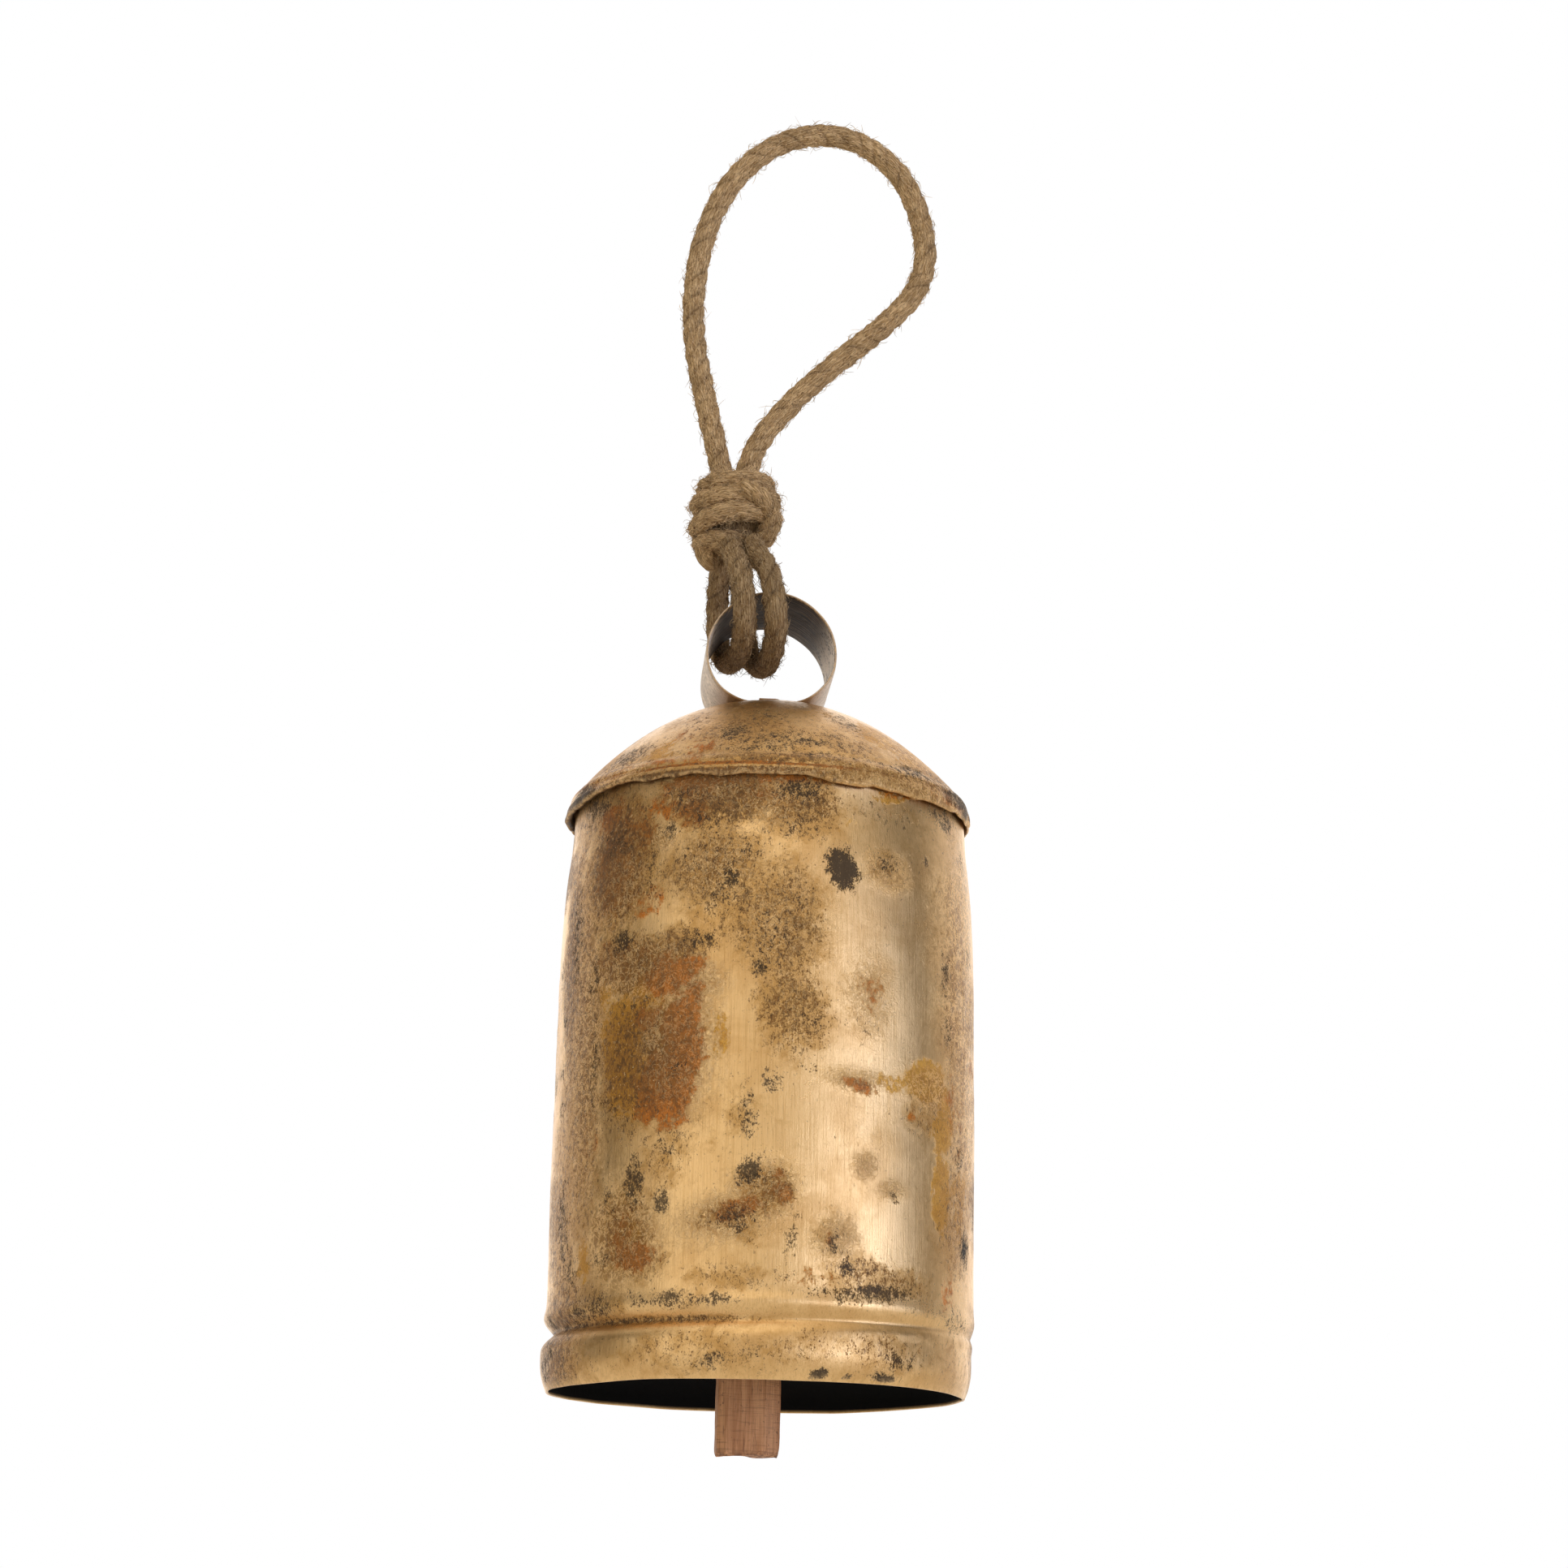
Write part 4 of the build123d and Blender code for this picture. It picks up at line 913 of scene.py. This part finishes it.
# dome and lip: the crown's flat, the dome, a crease, then the lip flaring to its ragged lower edge; the underside
# follows a sheet lower
def bellCap():
    turn = np.linspace(0, 2 * np.pi, cap["columns"], endpoint=False)[None, :]
    foot, rise, span, power = cap["dome"]
    domeAt = lambda r: foot + rise * (1 - (r / span)**power)
    front = fromFront(turn)
    low = cap["lipLow"] + sum(size * levelNoise(turn, *facts) for size, *facts in cap["lipRagged"])
    low = low + 1.7 * ease(front, 20, 2) * ease(front, -75, -50) + 0.5 * ease(np.abs(front), 60, 90)
    low = low - 0.5 * hill(front - 36, 14.0)
    flare = 0.10 + 0.30 * ease(-front, 25, 70) - 0.25 * ease(front, 50, 80) + 0.25 * levelNoise(turn, 14, 3, 109)
    flare = flare + 0.50 * levelNoise(turn, 4, 2, 111) * ease(np.abs(front), 30, 60)
    domeR = np.concatenate([np.linspace(1.2, 40, 46), np.linspace(40.8, 54.2, 30)])[:, None] + 0 * turn
    domeH = np.minimum(domeAt(domeR), cap["crown"] + 0.012 * (cap["crownFlat"] - np.minimum(domeR, cap["crownFlat"])))
    k = np.linspace(0, 1, 22)[:, None]
    lipR = cap["domeEdge"] + smoothThrough(k, cap["lipKeys"], cap["lipOut"]) + flare * ease(k, 0.25, 0.9)
    top = domeAt(cap["domeEdge"])
    lipH = top + (low - top) * smoothThrough(k, cap["lipKeys"], cap["lipDown"])
    underR = np.linspace(54.2, 53.3, 4)[:, None] + 0 * turn
    underH = np.vstack([low + 0.05, low + 0.6, low + 2.0, 0 * low + 156.2])
    backR = np.linspace(51.8, 1.2, 26)[:, None] + 0 * turn
    backH = np.minimum(domeAt(backR), cap["crown"]) - cap["sheet"] * (1 + 0.9 * ease(backR, 20, 54))
    bands = (domeR, lipR, underR, backR)
    r, h = np.vstack(bands), np.vstack([domeH, lipH, underH, backH])
    t = turn + 0 * r
    f = fromFront(t)
    over = overBands(bands, (1, 1, 0, 0))
    crease = hill(r - cap["creaseRadius"], 0.7) * overBands(bands, (1, 0, 0, 0))
    crust = stain(cap, "crust", t, h, strays(t, h, (2, 1), 8, 2, (121, 123)))
    lump = 0.10 * roundNoise(t, r, 9, 3, 131) * ease(r, 8, 20) + 0.26 * crust * roundNoise(t, h, 3.2, 2, 135)
    lump = lump + 0.30 * roundNoise(t, r, 40, 2, 137) * ease(r, 10, 24) * ease(r, 53, 46)
    lump = lump + 0.22 * crease * (1 + levelNoise(t, 6, 3, 139)) - 0.16 * hill(r - cap["hollowRadius"], 0.7) * over
    lean = ease(r, 4, 54) * 0.8
    r = r + lump * lean * over * ease(r, 2, 14)
    h = h + lump * (1 - lean) * over
    points = np.stack([r * np.cos(t), r * np.sin(t), rim + h], -1)
    wander = strays(t, h, (2.4, 1.3), 11, 3, (141, 143))
    small = strays(t, h, (1.2, 0.6), 6, 3, (145, 147))
    seam = hill(h - 157.0 - 0.4 * levelNoise(t, 14, 2, 149), 0.55) * over
    lipShade = ease(h, 156.6, 155.4) * (0.95 * ease(f, 26, -10) + 0.6)
    cloud = 0.45 + 0.30 * roundNoise(t, h, 26, 3, 151)
    marks = {
        "rust": np.maximum(stain(cap, "rust", t, h, wander), 0.95 * seam * ease(np.abs(f + 12), 44, 22)),
        "brown": np.max([stain(cap, "brown", t, h, wander), 0.95 * seam, lipShade, cloud], axis=0),
        "ochre": stain(cap, "ochre", t, h, wander),
        "soot": np.maximum(stain(cap, "soot", t, h, small), 0.74 * hill(r - 52.6, 0.5) * over),
        "scorch": 0 * r,
        "crust": crust * over,
        # the cap's underside and inner face take the near-black painted shade
        "inside": overBands(bands, (0, 0, 0.6, 1)),
        "edge": hill(h - low, 0.7) * over,
    }
    return gridPiece("bellCap", points, brassFinish("capBrass", (0.14, 2.2, 2.2), 0.45), **marks)


capDome = bellCap()
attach(capDome, "bell")
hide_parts("cap_dome")
print("cap")

# strap; an arc is its middle's x and z, its radius, its first and last degree and its number of points
strap = {
    "centre": (-1.2, -156.6),    # x and z of the hoop's middle
    "hoop": (0, 0, 17.55, -9, 189, 96),
    "rightFoot": (5.4, -0.95, 12.07, -90, -12, 26),
    "leftFoot": (-4.29, -0.757, 13.19, 192, 270, 26),
    "tuck": (1.3, 3.5, 11.5),    # mm that the right foot goes in, and how far below the middle it starts and ends
    "drop": (0.93, 4.0, 12.6),   # mm that it comes down on the crown before its tail climbs over the other
    "innerTail": (-3.2, 1.4, -13.02, 6),      # first x, last x, z, number of points
    "outerTail": (-3.6, 2.2, -13.95, 7),
    "step": 0.62,
    "half": 16.3,                # half the width
    "sheet": 0.9,
    "corner": 0.42,              # power that squares the oblong section
    "dot": (30.5, -5, 1.1),      # a dark spot: mm from the sheet's end, mm across, its width
    "pale": ((0.50, 0.365, 0.235), (0.84, 0.67, 0.49)),
    "speck": (0.24, 0.15, 0.085),
    "scratch": (0.30, 0.20, 0.12),
    "foot": (0.36, 0.21, 0.095),
    "dark": ((0.034, 0.021, 0.012), (0.150, 0.095, 0.052)),
    "bare": (0.92, 0.79, 0.64),
    "cutEdge": (0.58, 0.38, 0.19),
    "spot": (0.03, 0.022, 0.016),
    "tail": ((0.20, 0.105, 0.040), (0.50, 0.30, 0.13)),
}


# points on an arc: middle + radius (cos, sin)
def arcLine(x, z, radius, first, last, count):
    angle = np.radians(np.linspace(first, last, count))
    return np.stack([x + radius * np.cos(angle), z + radius * np.sin(angle)], -1)


# points on a level line from the first x to the last
def tailLine(first, last, z, count):
    return np.stack([np.linspace(first, last, count), np.full(count, z)], -1)


# hoop: one bent sheet, its line made of a large arc, a tighter arc into each foot and two flat tails; an oblong
# section (sign(cos a) |cos a|^c, sign(sin a) |sin a|^c) goes along it
def hangerStrap():
    cx, cz = strap["centre"]
    foot = arcLine(*strap["rightFoot"])
    for axis, facts in enumerate((strap["tuck"], strap["drop"])):
        size, first, last = facts
        foot[:, axis] -= size * ease(-foot[:, 1], first, last)
    line = np.vstack([tailLine(*strap["innerTail"]), foot, arcLine(*strap["hoop"]),
                      arcLine(*strap["leftFoot"]), tailLine(*strap["outerTail"])])
    line, s = evenSteps(np.stack([cx + line[:, 0], 0 * line[:, 0], cz + line[:, 1]], -1), strap["step"])
    t = np.gradient(line, axis=0)
    t /= np.linalg.norm(t, axis=1, keepdims=True)
    out = np.stack([t[:, 2], 0 * s, -t[:, 0]], -1)
    a = np.linspace(0, 2 * np.pi, 56, endpoint=False)[None, :]
    across, up = (np.sign(k) * np.abs(k)**strap["corner"] for k in (np.cos(a), np.sin(a)))
    v = s[:, None]
    width = strap["half"] + 0.16 * runNoise(v, 7.0, 201) + 0.08 * runNoise(v, 2.0, 203)
    waves = 0.12 * latticeNoise(2 * (across + 1) + 0 * v, v / 9.0, 6, 205)
    rise = strap["sheet"] / 2 * up + waves
    points = line[:, None] + out[:, None] * rise[..., None] + np.array([0, 1.0, 0]) * (width * across)[..., None]
    lay = np.stack([v + 0 * a, 16 * across + 0 * v, 2 * up + 0 * v], -1)
    back, beside, size = strap["dot"]
    return gridPiece("hangerStrap", points, strapFinish(), lay=lay,
                     inner=ease(-up, -0.2, 0.6) + 0 * v,
                     edge=ease(np.abs(across), 0.93, 0.99) + 0 * v,
                     dot=hill(v - s[-1] + back, size) * hill(16 * across - beside, size) * (up > 0),
                     high=(line[:, None, 2] + 0 * a - cz) / 18)


# old strap iron: charcoal and scratched inside, pale grey-brown and rubbed outside, brassy on its cut edges
def strapFinish():
    f = Finish("strapIron")
    lay = f.mark("lay", vector=True)
    inner, edge, dot, high = (f.mark(k) for k in ("inner", "edge", "dot", "high"))
    scratch = f.noise(1.0, 5, 0.62, 0.2, (0.10, 1.6, 1.0), where=lay)
    cloud = f.noise(1.0, 5, 0.6, 0.5, (0.20, 0.20, 1.0), (5, 2, 0), where=lay)
    fine = f.noise(1.0, 4, 0.6, 0.0, (1.1, 1.1, 1.0), (1, 8, 0), where=lay)
    pit = f.noise(1.0, 2, 0.5, 0.0, (0.55, 0.55, 1), (9, 9, 0), where=lay)
    pale = f.blend(f.between(cloud, 0.35, 0.68), *strap["pale"])
    pale = f.blend(f.between(fine, 0.50, 0.36, 0.75), pale, strap["speck"])
    pale = f.blend(f.between(scratch, 0.46, 0.34, 0.5), pale, strap["scratch"])
    pale = f.blend(f.between(high, -0.35, -0.75, 0.92), pale, strap["foot"])
    dark = f.blend(f.between(scratch, 0.42, 0.62), *strap["dark"])
    rubbed = f.times(f.between(f.nudged(cloud, fine, 1.2), 0.28, 0.52), f.between(high, 0.7, 0.1))
    dark = f.blend(rubbed, dark, strap["bare"])
    colour = f.blend(inner, pale, dark)
    cut = f.times(f.times(edge, f.between(high, -0.78, -0.6)), f.between(fine, 0.38, 0.55, 0.85))
    colour = f.blend(cut, colour, strap["cutEdge"])
    colour = f.blend(f.most(dot, f.between(pit, 0.30, 0.25, 0.8)), colour, strap["spot"])
    tail = f.between(high, -0.60, -0.70)
    colour = f.blend(tail, colour, f.blend(fine, *strap["tail"]))
    rough = f.most(f.added(f.added(0.36, inner, 0.16), cloud, 0.30), tail)
    normal = f.bump(f.added(f.times(fine, 0.5), scratch, 0.5), 0.00016)
    return f.done(colour, f.added(0.32, inner, -0.12), rough, normal, 0.3)


strapPiece = hangerStrap()
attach(strapPiece, "bell")
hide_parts("hanger_strap")
print("strap")

# staple and bail
iron = {
    "dark": (0.10, 0.085, 0.070),
    "rusty": (0.30, 0.145, 0.065),
    "bright": (0.34, 0.30, 0.25),
}


# drawn wire gone dark, rust in its hollows and brighter along its drawn lines, each through an eased noise
def wireFinish():
    f = Finish("wireIron")
    spots = f.noise(0.9, 5, 0.62, 0.3)
    draw = f.noise(1.0, 3, 0.6, 0.0, (2.2, 2.2, 0.25))
    colour = f.blend(f.between(spots, 0.42, 0.62), iron["dark"], iron["rusty"])
    colour = f.blend(f.between(draw, 0.58, 0.70, 0.6), colour, iron["bright"])
    return f.done(colour, 0.72, f.added(0.32, spots, 0.35), f.bump(f.math("ADD", spots, draw), 0.00022))


wire = wireFinish()
for node in ("clapper_staple", "clapper_link"):
    piece = bpy.data.objects.get(node)
    if piece is None:
        raise RuntimeError("no CAD node object named " + node)
    piece.data.materials.clear()
    piece.data.materials.append(wire)
print("wire parts")

# clapper
clapper = {
    "x": (-10.7, 5.6), "y": (-8.2, 8.2), "z": (-370.5, -217.4),
    "chamfer": (1.8, 4.4, 3.0, 3.0),       # front left, front right, rear right, rear left
    "counts": (16, 6, 14, 6, 16, 6, 14, 5),      # points along each side and chamfer in turn
    "footLift": 0.35,                      # mm that the saw cut starts above the lowest point
    "ringSizes": (0.9, 0.75, 0.55, 0.32, 0.1),   # rings across each end
    "light": (0.68, 0.330, 0.150),
    "mid": (0.47, 0.200, 0.080),
    "dark": (0.12, 0.052, 0.028),
}


# hewn bar: an oblong section with four uneven chamfers carried up its length, each corner wandering; the saw-cut
# foot is ragged, and rings shrinking to the middle close both ends
def clapperBar():
    (x0, x1), (y0, y1), (z0, z1) = clapper["x"], clapper["y"], clapper["z"]
    tall, lift = z1 - z0, clapper["footLift"]
    z = np.concatenate([np.linspace(0, 3, 7), np.linspace(4.2, tall - 2.0, 72), np.linspace(tall - 1.2, tall, 4)])
    z = z[:, None]
    c = [k + 0.45 * runNoise(z, 14.0, 300 + i) + 0.15 * runNoise(z, 4.0, 310 + i)
         for i, k in enumerate(clapper["chamfer"])]
    front, right, rear, left = ([y0, x1, y1, x0][i] + 0.22 * runNoise(z, 40.0, 320 + i) for i in range(4))
    corners = [(x0 + c[0], front), (x1 - c[1], front), (right, y0 + c[1]), (right, y1 - c[2]),
               (x1 - c[2], rear), (x0 + c[3], rear), (left, y1 - c[3]), (left, y0 + c[0])]
    xs, ys, chamfered = [], [], []
    for i, n in enumerate(clapper["counts"]):
        (ax, ay), (bx, by) = corners[i], corners[(i + 1) % 8]
        k = (np.arange(n) / n)[None, :]
        k = 0.5 * k + 0.5 * k * k * (3 - 2 * k)          # closer together near the corners
        xs.append(ax + (bx - ax) * k)
        ys.append(ay + (by - ay) * k)
        chamfered.append(np.full((len(z), n), float(i % 2)))
    x, y, facet = np.hstack(xs), np.hstack(ys), np.hstack(chamfered)
    u = np.linspace(0, 1, x.shape[1], endpoint=False)[None, :]
    level = 0 * z
    rough = 0.10 * skinNoise(u, z, 30, 5.0, 331) + 0.06 * skinNoise(u, z, 60, 1.6, 333)
    mx, my = (x0 + x1) / 2, (y0 + y1) / 2
    trim = 1 - 0.045 * hill(z, 0.7, 1) * (1 + skinNoise(u, level, 14, 1.0, 335)) - 0.05 * hill(tall - z, 0.5, 1)
    grow = trim + rough / np.hypot(x - mx, y - my)
    x, y = mx + (x - mx) * grow, my + (y - my) * grow
    foot = 0.8 * skinNoise(u, level, 18, 1.0, 337) * hill(z, 1.4, 1)
    sides = np.stack([x, y, z0 + lift + z * (tall - lift) / tall + foot], -1)
    shrink = np.array(clapper["ringSizes"])[:, None, None]
    middle = np.array([mx, my, 0])
    inwards = np.concatenate([shrink, shrink, 0 * shrink + 1], -1)
    pit = np.random.default_rng(5).uniform(-0.25, 0.35, (len(shrink), x.shape[1], 1))
    low = middle + (sides[:1] - middle) * inwards
    low[..., 2:] = z0 + lift + 0.4 * pit * shrink + (sides[:1, :, 2:] - z0 - lift) * shrink
    top = middle + (sides[-1:] - middle) * inwards
    points = np.concatenate([low[::-1], sides, top])
    pad = np.zeros((len(shrink), x.shape[1]))
    return gridPiece("clapperBar", points, woodFinish(), facet=np.vstack([pad, facet, pad]),
                     cut=np.vstack([pad + 1, hill(z, 0.6, 1) + 0 * u, pad + 1]))


# raw reddish wood: long grain, fine sawn lines across, dark specks, more of them on the cut ends
def woodFinish():
    f = Finish("clapperWood")
    facet, cut = f.mark("facet"), f.mark("cut")
    grain = f.noise(1.0, 6, 0.6, 0.5, (0.85, 0.85, 0.035))
    pore = f.noise(1.0, 4, 0.6, 0.0, (3.2, 3.2, 0.16), (3, 1, 0))
    saw = f.noise(1.0, 3, 0.6, 0.2, (0.10, 0.10, 1.9), (0, 0, 4))
    speck = f.noise(0.75, 4, 0.6, 0.2, shift=(5, 5, 5))
    colour = f.blend(f.between(grain, 0.36, 0.64), clapper["mid"], clapper["light"])
    for mask in (f.between(pore, 0.44, 0.28, 0.75), f.between(saw, 0.46, 0.34, 0.32),
                 f.between(f.added(speck, facet, 0.045), 0.64, 0.74, 0.7),
                 f.times(cut, f.between(speck, 0.62, 0.42, 0.8))):
        colour = f.blend(mask, colour, clapper["dark"])
    return f.done(colour, 0.0, 0.72, f.bump(f.added(f.times(saw, 0.45), pore, 0.55), 0.00035), 0.3)


clapperPiece = clapperBar()
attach(clapperPiece, "clapper")
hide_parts("clapper_bar")
print("clapper")

# studio
studio = {
    "floor": -0.62,              # metres
    "floorHalf": 3.0,
    "floorColours": ((0.78, 0.78, 0.77), (0.84, 0.84, 0.83)),
    "ambient": 0.11,
    # each soft source: the direction it comes from as degrees right of the camera and degrees up, the cosine where
    # it fades out, the cosine where it is full, then its red, green and blue strength
    "sources": [
        (180, 8, 0.24, 0.90, (1.46, 1.43, 1.38)),     # white wall behind
        (55, -10, 0.885, 0.956, (3.35, 4.0, 6.1)),    # soft box, front right, a little cool
        (-6, 12, 0.55, 0.98, (0.60, 0.585, 0.56)),    # broad fill near the camera
        (10, 70, 0.45, 0.95, (0.92, 0.90, 0.86)),     # overhead
        (-50, 2, 0.88, 0.975, (0.90, 0.91, 0.92)),    # weak card, front left
    ],
}


# sky colour = ambient + the sum of each source's colour times its eased fade over the cosine to its direction;
# the camera itself sees plain white
def studioLight():
    world = bpy.data.worlds.new("studio")
    scene.world = world
    world.use_nodes = True
    nodes, join = world.node_tree.nodes, world.node_tree.links.new
    nodes.clear()
    where = nodes.new("ShaderNodeTexCoord").outputs["Generated"]
    base = math.radians(camera["azimuth"] - 90)          # the camera's side of the bell, as an angle from +X
    total = None
    for turn, lift, low, high, strength in studio["sources"]:
        angle, up = base + math.radians(turn), math.radians(lift)
        dot = nodes.new("ShaderNodeVectorMath")
        dot.operation = "DOT_PRODUCT"
        join(where, dot.inputs[0])
        dot.inputs[1].default_value = (math.cos(angle) * math.cos(up), math.sin(angle) * math.cos(up), math.sin(up))
        fade = nodes.new("ShaderNodeMapRange")
        fade.interpolation_type = "SMOOTHSTEP"
        join(dot.outputs["Value"], fade.inputs["Value"])
        fade.inputs["From Min"].default_value = low
        fade.inputs["From Max"].default_value = high
        plus = nodes.new("ShaderNodeVectorMath")
        plus.operation = "MULTIPLY_ADD"
        join(fade.outputs["Result"], plus.inputs[0])
        plus.inputs[1].default_value = strength
        if total is None:
            plus.inputs[2].default_value = (studio["ambient"],) * 3
        else:
            join(total, plus.inputs[2])
        total = plus.outputs[0]
    lightSide, seen = nodes.new("ShaderNodeBackground"), nodes.new("ShaderNodeBackground")
    join(total, lightSide.inputs["Color"])
    seen.inputs["Color"].default_value = (1, 1, 1, 1)
    choose = nodes.new("ShaderNodeMixShader")
    join(nodes.new("ShaderNodeLightPath").outputs["Is Camera Ray"], choose.inputs[0])
    join(lightSide.outputs[0], choose.inputs[1])
    join(seen.outputs[0], choose.inputs[2])
    join(choose.outputs[0], nodes.new("ShaderNodeOutputWorld").inputs["Surface"])
    scene.view_settings.view_transform = "Standard"


# a flat square, pale and faintly clouded by noise
def studioFloor():
    size, z = studio["floorHalf"], studio["floor"]
    mesh = bpy.data.meshes.new("studioFloor")
    mesh.from_pydata([(-size, -size, z), (size, -size, z), (size, size, z), (-size, size, z)], [], [(0, 1, 2, 3)])
    f = Finish("paleFloor")
    mesh.materials.append(f.done(f.blend(f.noise(0.004, 3), *studio["floorColours"]), 0.0, 0.7))
    addPiece("studioFloor", mesh)


studioLight()
studioFloor()
print("studio")
